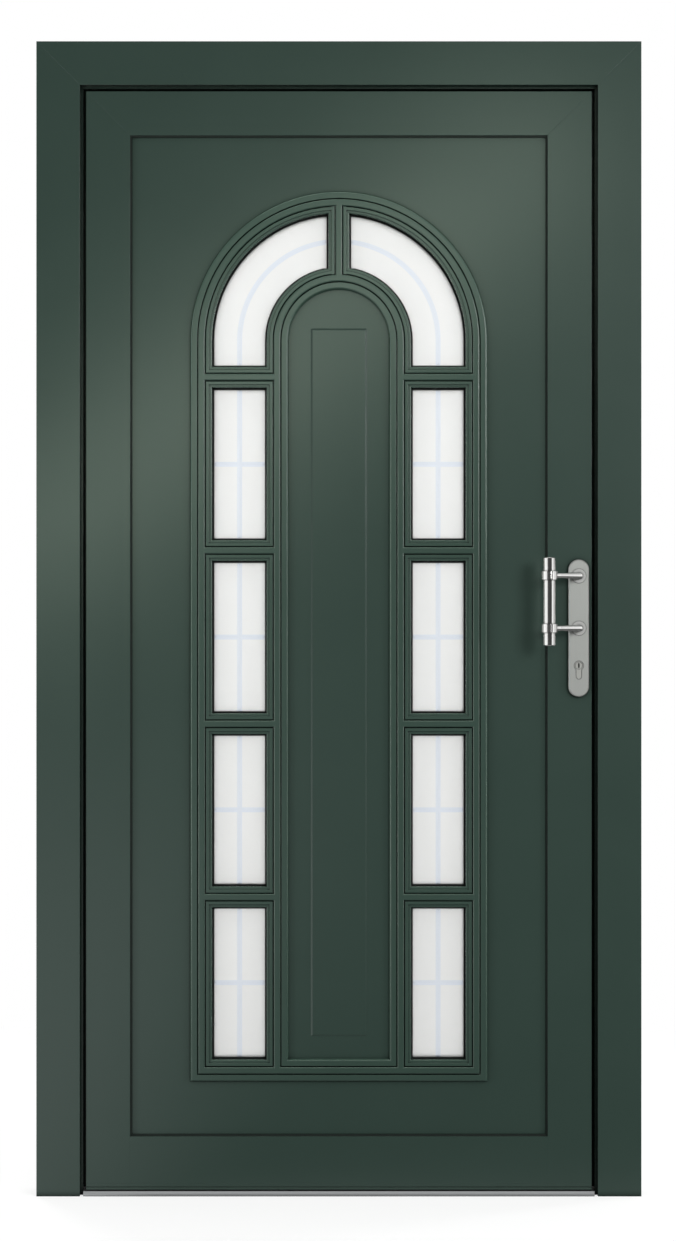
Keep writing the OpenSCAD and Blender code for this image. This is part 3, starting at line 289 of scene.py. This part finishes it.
@dataclass(frozen=True)
class GrainedMetal:
    """A bare metal whose surface keeps the lines of how it was made.

    Brushing, rolling and extruding leave fine parallel lines that stretch each highlight.
    """

    name: str
    colour: str
    roughness: float
    grain: Grain
    line_mm: float = 0.8
    line_height_mm: float = 0.004
    spread: float = 0.06
    line_shades: Span = (0.93, 1.05)
    joint_mm: float = 0.7
    joint_dim: float = 0.45
    slot_shade_mm: float = 5.0

    def make(self) -> bpy.types.Material:
        """Returns the grained metal as a material."""
        material, tree, shader, place = blank(self.name)
        drawn = add(tree, "ShaderNodeVectorMath", {"operation": "MULTIPLY"}, {0: place, 1: self.grain.value})
        # Real lines are about 0.1 mm apart; they are drawn coarser so that they show.
        lines = add(
            tree,
            "ShaderNodeTexNoise",
            {},
            {"Vector": drawn.outputs["Vector"], "Scale": 1 / (self.line_mm * MM), "Detail": 2.0},
        )
        darker, lighter = shades(self.colour, *self.line_shades)
        tone = add(
            tree,
            "ShaderNodeMix",
            {"data_type": "RGBA"},
            {"Factor": lines.outputs["Fac"], "A": darker, "B": lighter},
        )
        # A fine dark line along edges and joints, and painted shade in slots.
        joined = add(
            tree,
            "ShaderNodeMix",
            {"data_type": "RGBA", "blend_type": "MULTIPLY"},
            {
                "Factor": 1.0,
                "A": tone.outputs["Result"],
                "B": joint_dim(tree, self.joint_mm * MM, self.joint_dim, self.slot_shade_mm * MM),
            },
        )
        gloss = add(
            tree,
            "ShaderNodeMapRange",
            {},
            {
                "Value": lines.outputs["Fac"],
                "To Min": self.roughness - self.spread,
                "To Max": self.roughness + self.spread,
            },
        )
        bump = add(
            tree,
            "ShaderNodeBump",
            {},
            {"Height": lines.outputs["Fac"], "Distance": self.line_height_mm * MM, "Strength": 1.0},
        )
        tree.links.new(joined.outputs["Result"], shader.inputs["Base Color"])
        tree.links.new(gloss.outputs["Result"], shader.inputs["Roughness"])
        tree.links.new(bump.outputs["Normal"], shader.inputs["Normal"])
        shader.inputs["Metallic"].default_value = 1.0
        return material


@dataclass(frozen=True)
class TurnedSteel:
    """Stainless steel, turned and polished, on a rosette whose face stays brushed.

    The polished part mirrors its room in long bright and dark stripes; the rosette is an even grey, made
    lighter as painted light for the lamps kept off the pull.
    """

    name: str
    colour: str
    brushed_colour_with_painted_light: str
    roughness: float
    brushed_roughness: float
    rosette_y: float
    line_mm: float = 0.7
    spread: float = 0.01
    joint_mm: float = 2.0
    joint_dim: float = 0.15
    slot_shade_mm: float = 14.0

    def make(self) -> bpy.types.Material:
        """Returns the turned steel as a material."""
        material, tree, shader, place = blank(self.name)
        depth = add(tree, "ShaderNodeSeparateXYZ", {}, {"Vector": place}).outputs["Y"]
        brushed = add(
            tree,
            "ShaderNodeMapRange",
            {"clamp": True},
            {"Value": depth, "From Min": self.rosette_y - 0.2 * MM, "From Max": self.rosette_y},
        )
        # Turning lines are under 0.1 mm apart; they are drawn coarser so that they show.
        turned = add(
            tree, "ShaderNodeVectorMath", {"operation": "MULTIPLY"}, {0: place, 1: Grain.ROUND.value}
        )
        lines = add(
            tree,
            "ShaderNodeTexNoise",
            {},
            {"Vector": turned.outputs["Vector"], "Scale": 1 / (self.line_mm * MM), "Detail": 1.0},
        )
        # The rosette's lighter grey is painted light, for the lamps kept off the pull.
        tone = add(
            tree,
            "ShaderNodeMix",
            {"data_type": "RGBA"},
            {"Factor": brushed.outputs["Result"], "A": linear(self.colour), "B": linear(self.brushed_colour_with_painted_light)},
        )
        # A fine dark line along edges and joints, and painted shade in slots.
        joined = add(
            tree,
            "ShaderNodeMix",
            {"data_type": "RGBA", "blend_type": "MULTIPLY"},
            {
                "Factor": 1.0,
                "A": tone.outputs["Result"],
                "B": joint_dim(tree, self.joint_mm * MM, self.joint_dim, self.slot_shade_mm * MM),
            },
        )
        worn = add(
            tree,
            "ShaderNodeMapRange",
            {},
            {
                "Value": lines.outputs["Fac"],
                "To Min": self.roughness - self.spread,
                "To Max": self.roughness + self.spread,
            },
        )
        gloss = add(
            tree,
            "ShaderNodeMix",
            {"data_type": "FLOAT"},
            {
                "Factor": brushed.outputs["Result"],
                "A": worn.outputs["Result"],
                "B": self.brushed_roughness,
            },
        )
        tree.links.new(joined.outputs["Result"], shader.inputs["Base Color"])
        tree.links.new(gloss.outputs["Result"], shader.inputs["Roughness"])
        shader.inputs["Metallic"].default_value = 1.0
        return material


@dataclass(frozen=True)
class Rubber:
    """EPDM rubber, extruded and cured: black, matt and faintly dusty."""

    name: str
    colour: str
    roughness: float = 0.62
    dust_mm: float = 14.0
    dust_share: float = 1.7
    skin_mm: float = 1.6
    skin_height_mm: float = 0.03

    def make(self) -> bpy.types.Material:
        """Returns the rubber as a material."""
        material, tree, shader, place = blank(self.name)
        dust = add(
            tree,
            "ShaderNodeTexNoise",
            {},
            {"Vector": place, "Scale": 1 / (self.dust_mm * MM), "Detail": 4.0},
        )
        clean, dusty = shades(self.colour, 1.0, self.dust_share)
        tone = add(
            tree,
            "ShaderNodeMix",
            {"data_type": "RGBA"},
            {"Factor": dust.outputs["Fac"], "A": clean, "B": dusty},
        )
        skin = add(
            tree,
            "ShaderNodeTexNoise",
            {},
            {"Vector": place, "Scale": 1 / (self.skin_mm * MM), "Detail": 1.0},
        )
        bump = add(
            tree,
            "ShaderNodeBump",
            {},
            {"Height": skin.outputs["Fac"], "Distance": self.skin_height_mm * MM, "Strength": 0.6},
        )
        tree.links.new(tone.outputs["Result"], shader.inputs["Base Color"])
        tree.links.new(bump.outputs["Normal"], shader.inputs["Normal"])
        shader.inputs["Roughness"].default_value = self.roughness
        shader.inputs["Specular IOR Level"].default_value = 0.2
        return material


@dataclass(frozen=True)
class FrostedGlass:
    """Float glass, etched white by acid, with V-grooves ground and polished into its outer face.

    The etched face scatters all light evenly; the polished grooves look smoother, their blue tint is a
    painted reflection, and the glass gets painted shade near its edges.
    """

    name: str
    colour: str
    groove_colour_with_painted_reflection: str
    roughness: float = 0.5
    groove_roughness: float = 0.38
    clear: float = 0.7
    etch_mm: float = 1.2
    etch_height_mm: float = 0.01
    groove_lean: Span = (0.985, 0.965)
    groove_soft: float = 0.8
    rim_shade_mm: float = 6.0
    rim_shade_dim: float = 0.25
    rim_shade_span: Span = (0.45, 0.8)

    def make(self) -> bpy.types.Material:
        """Returns the glass as a material."""
        material, tree, shader, place = blank(self.name)
        etch = add(
            tree,
            "ShaderNodeTexNoise",
            {},
            {"Vector": place, "Scale": 1 / (self.etch_mm * MM), "Detail": 2.0},
        )
        # The faces of a groove lean, so their normal is off the pane's own.
        facing = add(tree, "ShaderNodeNewGeometry", {}, {}).outputs["True Normal"]
        own = add(
            tree,
            "ShaderNodeVectorTransform",
            {"vector_type": "NORMAL", "convert_from": "WORLD", "convert_to": "OBJECT"},
            {"Vector": facing},
        )
        depth = add(tree, "ShaderNodeSeparateXYZ", {}, {"Vector": own.outputs["Vector"]}).outputs["Y"]
        flat = add(tree, "ShaderNodeMath", {"operation": "ABSOLUTE"}, {0: depth})
        side = add(tree, "ShaderNodeMath", {"operation": "SIGN"}, {0: depth})
        level = add(tree, "ShaderNodeCombineXYZ", {}, {"Y": side.outputs["Value"]})
        level_at, groove_at = self.groove_lean
        groove = add(
            tree,
            "ShaderNodeMapRange",
            {"clamp": True},
            {"Value": flat.outputs["Value"], "From Min": level_at, "From Max": groove_at},
        )
        # The grooves' blue tint is a painted reflection.
        tone = add(
            tree,
            "ShaderNodeMix",
            {"data_type": "RGBA"},
            {"Factor": groove.outputs["Result"], "A": linear(self.colour), "B": linear(self.groove_colour_with_painted_reflection)},
        )
        gloss = add(
            tree,
            "ShaderNodeMapRange",
            {},
            {"Value": groove.outputs["Result"], "To Min": self.roughness, "To Max": self.groove_roughness},
        )
        # The polished groove spreads light much as the etched face does, so it is shaded almost level.
        softness = add(
            tree,
            "ShaderNodeMapRange",
            {"clamp": True},
            {"Value": groove.outputs["Result"], "To Max": self.groove_soft},
        )
        softened = add(
            tree,
            "ShaderNodeMix",
            {"data_type": "VECTOR"},
            {"Factor": softness.outputs["Result"], "A": own.outputs["Vector"], "B": level.outputs["Vector"]},
        )
        shaded = add(
            tree,
            "ShaderNodeVectorTransform",
            {"vector_type": "NORMAL", "convert_from": "OBJECT", "convert_to": "WORLD"},
            {"Vector": softened.outputs["Result"]},
        )
        bump = add(
            tree,
            "ShaderNodeBump",
            {},
            {
                "Height": etch.outputs["Fac"],
                "Distance": self.etch_height_mm * MM,
                "Strength": 0.5,
                "Normal": shaded.outputs["Vector"],
            },
        )
        # Painted shade: the glass is darkened near its edges, beside the moulding and seals.
        rim_shade = painted_recess_shade(tree, self.rim_shade_mm * MM, self.rim_shade_dim, self.rim_shade_span)
        rim_shaded = add(
            tree,
            "ShaderNodeMix",
            {"data_type": "RGBA", "blend_type": "MULTIPLY"},
            {"Factor": 1.0, "A": tone.outputs["Result"], "B": rim_shade},
        )
        tree.links.new(rim_shaded.outputs["Result"], shader.inputs["Base Color"])
        tree.links.new(gloss.outputs["Result"], shader.inputs["Roughness"])
        tree.links.new(bump.outputs["Normal"], shader.inputs["Normal"])
        shader.inputs["IOR"].default_value = 1.52
        shader.inputs["Transmission Weight"].default_value = self.clear
        return material


@dataclass(frozen=True)
class Foam:
    """Polyurethane foam, cast between the sheets: pale, matt and fine-celled."""

    name: str
    colour: str
    cell_mm: float = 1.5
    cell_depth_mm: float = 0.4
    cell_shade: float = 0.8

    def make(self) -> bpy.types.Material:
        """Returns the foam as a material."""
        material, tree, shader, place = blank(self.name)
        cells = add(tree, "ShaderNodeTexVoronoi", {}, {"Vector": place, "Scale": 1 / (self.cell_mm * MM)})
        hollow, wall = shades(self.colour, self.cell_shade, 1.0)
        tone = add(
            tree,
            "ShaderNodeMix",
            {"data_type": "RGBA"},
            {"Factor": cells.outputs["Distance"], "A": hollow, "B": wall},
        )
        bump = add(
            tree,
            "ShaderNodeBump",
            {},
            {"Height": cells.outputs["Distance"], "Distance": self.cell_depth_mm * MM, "Strength": 0.7},
        )
        tree.links.new(tone.outputs["Result"], shader.inputs["Base Color"])
        tree.links.new(bump.outputs["Normal"], shader.inputs["Normal"])
        shader.inputs["Roughness"].default_value = 0.9
        return material


GREEN = "#34463f"
STEEL = "#d3d3d1"
ROSETTE_FACE = -43.1 * MM
# Painted shade darkens each coat in grooves and beside raised parts, over the reach given.
COAT_FRAME = PowderCoat("powder_coated_aluminium_frame", GREEN, painted_shade_reach_mm=16.0)
COAT_LEAF = PowderCoat("powder_coated_aluminium_leaf", GREEN, painted_shade_reach_mm=16.0)
COAT_PANEL = PowderCoat("powder_coated_aluminium_sheet", GREEN, painted_shade_reach_mm=16.0, wave_height_mm=0.25)
COAT_MOULDING = PowderCoat(
    "powder_coated_moulding", GREEN, painted_shade_reach_mm=6.0, painted_shade_dim=0.06, peel_height_mm=0.004
)
COAT_HINGE = PowderCoat(
    "powder_coated_cast_hinge", "#33443d", roughness=0.36, peel_mm=1.8, peel_height_mm=0.012
)
BARE_ALUMINIUM = GrainedMetal(
    "extruded_mill_finish_aluminium", "#c3c5c6", 0.36, Grain.ACROSS, 0.9, 0.006, 0.08
)
SATIN_STAINLESS = GrainedMetal(
    "brushed_stainless_steel", "#b3b4b2", 0.50, Grain.UPRIGHT, 0.7, 0.004, 0.05, joint_mm=1.8, joint_dim=0.3
)
BRIGHT_STAINLESS = GrainedMetal("polished_stainless_steel", STEEL, 0.11, Grain.UPRIGHT, 0.6, 0.0008, 0.03)
# The rosette's grey is lighter than the plate's: painted light for the lamps kept off the pull.
PULL_STAINLESS = TurnedSteel("turned_stainless_steel", STEEL, "#c8c9c7", 0.15, 0.50, ROSETTE_FACE)
LOCK_STEEL = GrainedMetal("zinc_plated_rolled_steel", "#b4b8bb", 0.33, Grain.UPRIGHT, 1.0, 0.003, 0.08)
SCREW_STEEL = GrainedMetal("zinc_plated_turned_steel", "#c2c4c6", 0.28, Grain.DEEP, 0.5, 0.003, 0.06)
SATIN_NICKEL = GrainedMetal(
    "satin_nickel_plated_brass", "#b6b6b3", 0.48, Grain.ACROSS, 0.5, 0.003, 0.05, joint_mm=1.8, joint_dim=0.2
)
EPDM = Rubber("extruded_epdm_rubber", "#0b0c0c")
GASKET = Rubber("extruded_dark_grey_epdm_rubber", "#1c2320")
# The second colour's blue tint is a painted reflection in the grooves.
GLASS = FrostedGlass("acid_etched_float_glass", "#fbfbfa", "#e8f0fd")
PU_FOAM = Foam("cast_polyurethane_foam", "#d9cfa9")


@dataclass
class Dresser:
    """Makes each finish once and puts it on the CAD nodes."""

    made: dict[str, bpy.types.Material] = field(default_factory=dict)

    def material(self, finish: Finish) -> bpy.types.Material:
        """Returns the material of a finish, made on first use.

        Args:
            finish: the finish wanted.

        Returns:
            The one material of that finish.
        """
        if finish.name not in self.made:
            self.made[finish.name] = finish.make()
        return self.made[finish.name]

    def dress(self, finish: Finish, *nodes: str) -> None:
        """Puts one finish on CAD nodes.

        Args:
            finish: the finish.
            nodes: names of the nodes.
        """
        for name in nodes:
            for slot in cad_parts[name].material_slots:
                slot.material = self.material(finish)
            LOG.info("%s: %s", name, finish.name)


@dataclass
class OuterFrame:
    """The fixed frame: mitred uprights and head, threshold and stop seal."""

    dresser: Dresser

    def build(self) -> None:
        """Dresses the frame's nodes."""
        self.dresser.dress(COAT_FRAME, "hinge_jamb", "lock_jamb", "frame_head")
        self.dresser.dress(BARE_ALUMINIUM, "threshold", "frame_corner_cleats")
        self.dresser.dress(EPDM, "frame_seal")


@dataclass
class Leaf:
    """The leaf's mitred profiles with their bottom seal."""

    dresser: Dresser

    def build(self) -> None:
        """Dresses the leaf's nodes."""
        self.dresser.dress(
            COAT_LEAF, "hinge_stile", "lock_stile", "top_rail", "bottom_rail", "bottom_seal_carrier"
        )
        self.dresser.dress(BARE_ALUMINIUM, "leaf_corner_cleats")
        self.dresser.dress(EPDM, "bottom_seal")


@dataclass
class InfillPanel:
    """The sandwich panel with its gaskets, beads, moulding and panes."""

    dresser: Dresser

    def build(self) -> None:
        """Dresses the panel's nodes."""
        self.dresser.dress(COAT_PANEL, "infill_outer_sheet", "infill_inner_sheet")
        self.dresser.dress(PU_FOAM, "infill_core")
        self.dresser.dress(GASKET, "infill_outer_gasket", "infill_inner_gasket")
        self.dresser.dress(EPDM, "pane_seals_outer", "pane_seals_inner")
        self.dresser.dress(COAT_LEAF, "glazing_beads_side", "glazing_beads_end")
        self.dresser.dress(COAT_MOULDING, "outer_moulding", "inner_moulding")
        self.dresser.dress(GLASS, "arch_pane_left", "arch_pane_right", "side_panes_left", "side_panes_right")


@dataclass
class LockWork:
    """The lock: faceplate, cases, bolts, strikes, rod and key cylinder."""

    dresser: Dresser

    def build(self) -> None:
        """Dresses the lock's nodes."""
        self.dresser.dress(
            LOCK_STEEL, "lock_faceplate", "lock_case", "bolt_cases", "main_strike", "bolt_strikes",
            "latch_bolt", "dead_bolt", "upper_bolt", "lower_bolt", "drive_rod", "spindle",
        )
        self.dresser.dress(SATIN_NICKEL, "cylinder_body", "cylinder_plug")


@dataclass
class HandleSet:
    """The outside pull on its long plate, and the inside lever on its own."""

    dresser: Dresser

    def build(self) -> None:
        """Dresses the handles' nodes."""
        self.dresser.dress(SATIN_STAINLESS, "outer_plate", "inner_plate")
        self.dresser.dress(PULL_STAINLESS, "pull_bar", "pull_arm_upper", "pull_arm_lower")
        self.dresser.dress(BRIGHT_STAINLESS, "lever_handle")


@dataclass
class Hinges:
    """Three surface hinges on the inside."""

    dresser: Dresser
    places: tuple[str, ...] = ("top", "middle", "bottom")

    def build(self) -> None:
        """Dresses the hinges' nodes."""
        for place in self.places:
            self.dresser.dress(COAT_HINGE, f"hinge_frame_part_{place}", f"hinge_leaf_part_{place}")
        self.dresser.dress(LOCK_STEEL, "hinge_pins")
        self.dresser.dress(
            SCREW_STEEL, "hinge_frame_screws", "hinge_leaf_screws", "strike_screws", "faceplate_screws",
            "plate_screws",
        )


def seen_directly(tree: bpy.types.NodeTree) -> tuple[bpy.types.Node, bpy.types.NodeSocket]:
    """Tells rays that see the backdrop itself, straight or through glass, from all others.

    Args:
        tree: the node tree that gets the nodes.

    Returns:
        The light path node, and a socket that is one for rays that see the backdrop.
    """
    path = add(tree, "ShaderNodeLightPath", {}, {})
    sees = add(
        tree,
        "ShaderNodeMath",
        {"operation": "MAXIMUM"},
        {0: path.outputs["Is Camera Ray"], 1: path.outputs["Is Transmission Ray"]},
    )
    return path, sees.outputs["Value"]


@dataclass(frozen=True)
class SoftBox:
    """A flat lamp behind white cloth, which gives broad light and soft shadows.

    It can be flagged off some pieces, or made to light only some.
    """

    name: str
    place: Point
    aim: Point
    size: tuple[float, float]
    power: float
    roll: float = 0.0
    tint: str = "#ffffff"
    kept_off: tuple[str, ...] = ()
    only_on: tuple[str, ...] = ()

    def hang(self) -> None:
        """Hangs the lamp in the studio."""
        data = bpy.data.lights.new(self.name, "AREA")
        data.shape = "RECTANGLE"
        data.size, data.size_y = self.size
        data.energy = self.power
        data.color = linear(self.tint)[:3]
        lamp = bpy.data.objects.new(self.name, data)
        lamp.location = self.place
        facing = (Vector(self.aim) - Vector(self.place)).to_track_quat("-Z", "Y")
        lamp.rotation_euler = (facing @ Quaternion((0.0, 0.0, 1.0), math.radians(self.roll))).to_euler()
        lamp.visible_camera = False
        bpy.context.scene.collection.objects.link(lamp)
        if self.kept_off or self.only_on:
            flag = bpy.data.collections.new(f"{self.name}_flag")
            for node in self.kept_off + self.only_on:
                flag.objects.link(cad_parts[node])
            for member in flag.collection_objects:
                member.light_linking.link_state = "EXCLUDE" if self.kept_off else "INCLUDE"
            lamp.light_linking.receiver_collection = flag


# The sheen in the photograph leans to green.
TINT = "#eeffeb"
MOULDING = ("outer_moulding",)
BAR = ("pull_bar",)
PULL = BAR + ("pull_arm_upper", "pull_arm_lower")


@dataclass
class Studio:
    """White backdrop, floor, lamps and the camera of the photograph."""

    view_height: float = 2.256
    distance: float = 5.0
    face_y: float = -0.038
    target: tuple[float, float] = (-0.0016, 1.047)
    room: float = 0.42
    before: float = 0.07
    beside: float = 0.95
    room_depth: Span = (-0.8, 0.1)
    floor_reach: float = 12.0
    floor_white: Span = (0.9, 2.2)
    floor_depth: Span = (-0.5, 0.6)
    floor_left: Span = (-0.1, -0.7)
    floor_left_level: float = 1.0
    floor_grey: float = 0.45
    floor_lift: float = 0.70
    lamps: tuple[SoftBox, ...] = (
        SoftBox("key", (2.6, -4.4, 2.1), (0.0, 0.0, 1.1), (1.3, 1.3), 87.0, kept_off=BAR),
        # The long tilted box that draws the slanting sheen over the upper half of the door.
        SoftBox(
            "sheen", (-0.22, -4.03, 1.915), (-0.22, 0.0, 1.915), (2.45, 0.32), 11.6,
            roll=37.0, tint=TINT, kept_off=PULL,
        ),
        # A lamp high before the door, which lights the moulding's upper shoulders and shades the lower ones.
        SoftBox(
            "top_strip", (0.0, -0.6, 3.3), (0.0, -0.03, 1.2), (2.0, 0.35), 18.0, tint=TINT, only_on=MOULDING
        ),
        # Two more at its sides, for the shoulders of the upright mouldings.
        SoftBox(
            "edge_left", (-2.2, -0.5, 1.2), (0.0, -0.03, 1.0), (0.4, 2.4), 19.0, tint=TINT, only_on=MOULDING
        ),
        SoftBox(
            "edge_right", (2.2, -0.5, 1.2), (0.0, -0.03, 1.0), (0.4, 2.4), 17.0, tint=TINT, only_on=MOULDING
        ),
        # Two cards beside the pull, which its polished bar mirrors as long bright stripes.
        SoftBox("pull_left", (-1.22, -1.29, 1.3), (0.378, -0.091, 1.08), (1.7, 2.2), 13.0, only_on=PULL),
        SoftBox("pull_right", (2.12, -1.07, 1.3), (0.378, -0.091, 1.08), (0.9, 2.2), 7.0, only_on=PULL),
        SoftBox("left_strip", (-2.9, -1.3, 1.3), (0.0, -0.05, 1.1), (0.5, 2.4), 24.0, kept_off=PULL),
        SoftBox("right_strip", (2.9, -1.3, 1.3), (0.0, -0.05, 1.1), (0.5, 2.4), 20.0, kept_off=PULL),
        SoftBox("back_key", (-2.6, 4.4, 2.1), (0.0, 0.0, 1.1), (1.3, 1.3), 80.0),
        SoftBox("back_strip", (2.9, 1.3, 1.3), (0.0, 0.05, 1.1), (0.5, 2.4), 24.0),
        SoftBox("back_fill", (2.2, 4.6, 2.4), (0.0, 0.0, 1.1), (1.4, 1.8), 32.0),
    )

    def camera(self) -> None:
        """Sets the camera square to the door, at the photograph's framing."""
        data = bpy.data.cameras.new("camera")
        data.sensor_width = 36.0
        data.lens = data.sensor_width * self.distance / self.view_height
        data.dof.use_dof = False
        camera = bpy.data.objects.new("camera", data)
        camera.location = (self.target[0], self.face_y - self.distance, self.target[1])
        camera.rotation_euler = (math.radians(90), 0.0, 0.0)
        bpy.context.scene.collection.objects.link(camera)
        bpy.context.scene.camera = camera

    def world(self) -> None:
        """Makes a white backdrop for what sees it, and an even grey room for the rest."""
        world = bpy.data.worlds.new("studio")
        world.use_nodes = True
        tree = world.node_tree
        path, sees = seen_directly(tree)
        place = add(tree, "ShaderNodeTexCoord", {}, {})
        depth = add(tree, "ShaderNodeSeparateXYZ", {}, {"Vector": place.outputs["Generated"]}).outputs["Y"]
        # Mirrored rays see the white backdrop beside and behind the door, and a dim room before it.
        front, back = self.room_depth
        mirrored = add(
            tree,
            "ShaderNodeMapRange",
            {"clamp": True, "interpolation_type": "SMOOTHSTEP"},
            {
                "Value": depth,
                "From Min": front,
                "From Max": back,
                "To Min": self.before,
                "To Max": self.beside,
            },
        )
        glossy = add(
            tree,
            "ShaderNodeMix",
            {"data_type": "FLOAT"},
            {"Factor": path.outputs["Is Glossy Ray"], "A": self.room, "B": mirrored.outputs["Result"]},
        )
        level = add(
            tree,
            "ShaderNodeMix",
            {"data_type": "FLOAT"},
            {"Factor": sees, "A": glossy.outputs["Result"], "B": 1.0},
        )
        tree.links.new(level.outputs["Result"], tree.nodes["Background"].inputs["Strength"])
        tree.nodes["Background"].inputs["Color"].default_value = WHITE
        bpy.context.scene.world = world

    def floor(self) -> None:
        """Lays a pale floor that keeps the door's shadow and runs out to white."""
        mesh = bpy.data.meshes.new("floor")
        reach = self.floor_reach
        mesh.from_pydata(
            [(-reach, -reach, 0.0), (reach, -reach, 0.0), (reach, reach, 0.0), (-reach, reach, 0.0)],
            [],
            [(0, 1, 2, 3)],
        )
        floor = bpy.data.objects.new("floor", mesh)
        bpy.context.scene.collection.objects.link(floor)
        mesh.materials.append(self.floor_paint())

    def floor_paint(self) -> bpy.types.Material:
        """Returns the floor's matt white paint, whose mirror image is dim before the door."""
        material = bpy.data.materials.new("matt_white_floor_paint")
        material.use_nodes = True
        tree = material.node_tree
        tree.nodes.remove(tree.nodes["Principled BSDF"])
        path, sees = seen_directly(tree)
        place = add(tree, "ShaderNodeTexCoord", {}, {}).outputs["Object"]
        axes = add(tree, "ShaderNodeSeparateXYZ", {}, {"Vector": place})
        away = add(tree, "ShaderNodeVectorMath", {"operation": "LENGTH"}, {0: place})
        deep, left, white = (
            add(
                tree,
                "ShaderNodeMapRange",
                {"clamp": True, "interpolation_type": "SMOOTHSTEP"},
                {"Value": value, "From Min": near, "From Max": far, "To Min": low, "To Max": high},
            ).outputs["Result"]
            for value, (near, far), low, high in (
                (axes.outputs["Y"], self.floor_depth, self.before, self.beside),
                (axes.outputs["X"], self.floor_left, self.before, self.floor_left_level),
                (away.outputs["Value"], self.floor_white, 0.0, 1.0),
            )
        )
        lighter = add(tree, "ShaderNodeMath", {"operation": "MAXIMUM"}, {0: deep, 1: left})
        paint = add(tree, "ShaderNodeBsdfDiffuse", {}, {"Color": (self.floor_grey,) * 3 + (1.0,)})
        lift = add(tree, "ShaderNodeEmission", {}, {"Color": WHITE, "Strength": self.floor_lift})
        both = add(tree, "ShaderNodeAddShader", {}, {0: paint.outputs["BSDF"], 1: lift.outputs["Emission"]})
        plain = add(tree, "ShaderNodeEmission", {}, {"Color": WHITE, "Strength": 1.0})
        mirror = add(tree, "ShaderNodeEmission", {}, {"Color": WHITE, "Strength": lighter.outputs["Value"]})
        seen = add(
            tree,
            "ShaderNodeMixShader",
            {},
            {0: white, 1: both.outputs["Shader"], 2: plain.outputs["Emission"]},
        )
        lit = add(
            tree, "ShaderNodeMixShader", {}, {0: sees, 1: paint.outputs["BSDF"], 2: seen.outputs["Shader"]}
        )
        mixed = add(
            tree,
            "ShaderNodeMixShader",
            {},
            {0: path.outputs["Is Glossy Ray"], 1: lit.outputs["Shader"], 2: mirror.outputs["Emission"]},
        )
        tree.links.new(mixed.outputs["Shader"], tree.nodes["Material Output"].inputs["Surface"])
        return material

    def build(self) -> None:
        """Sets up the whole studio."""
        self.camera()
        for lamp in self.lamps:
            lamp.hang()
        self.world()
        self.floor()
        bpy.context.scene.view_settings.view_transform = "Standard"


def main() -> None:
    """Builds the studio and dresses the door."""
    logging.basicConfig(level=logging.INFO, format="%(name)s %(message)s")
    Studio().build()
    dresser = Dresser()
    for part in (OuterFrame, Leaf, InfillPanel, LockWork, HandleSet, Hinges):
        part(dresser).build()
        LOG.info("%s done", part.__name__)


if __name__ == "__main__":
    main()
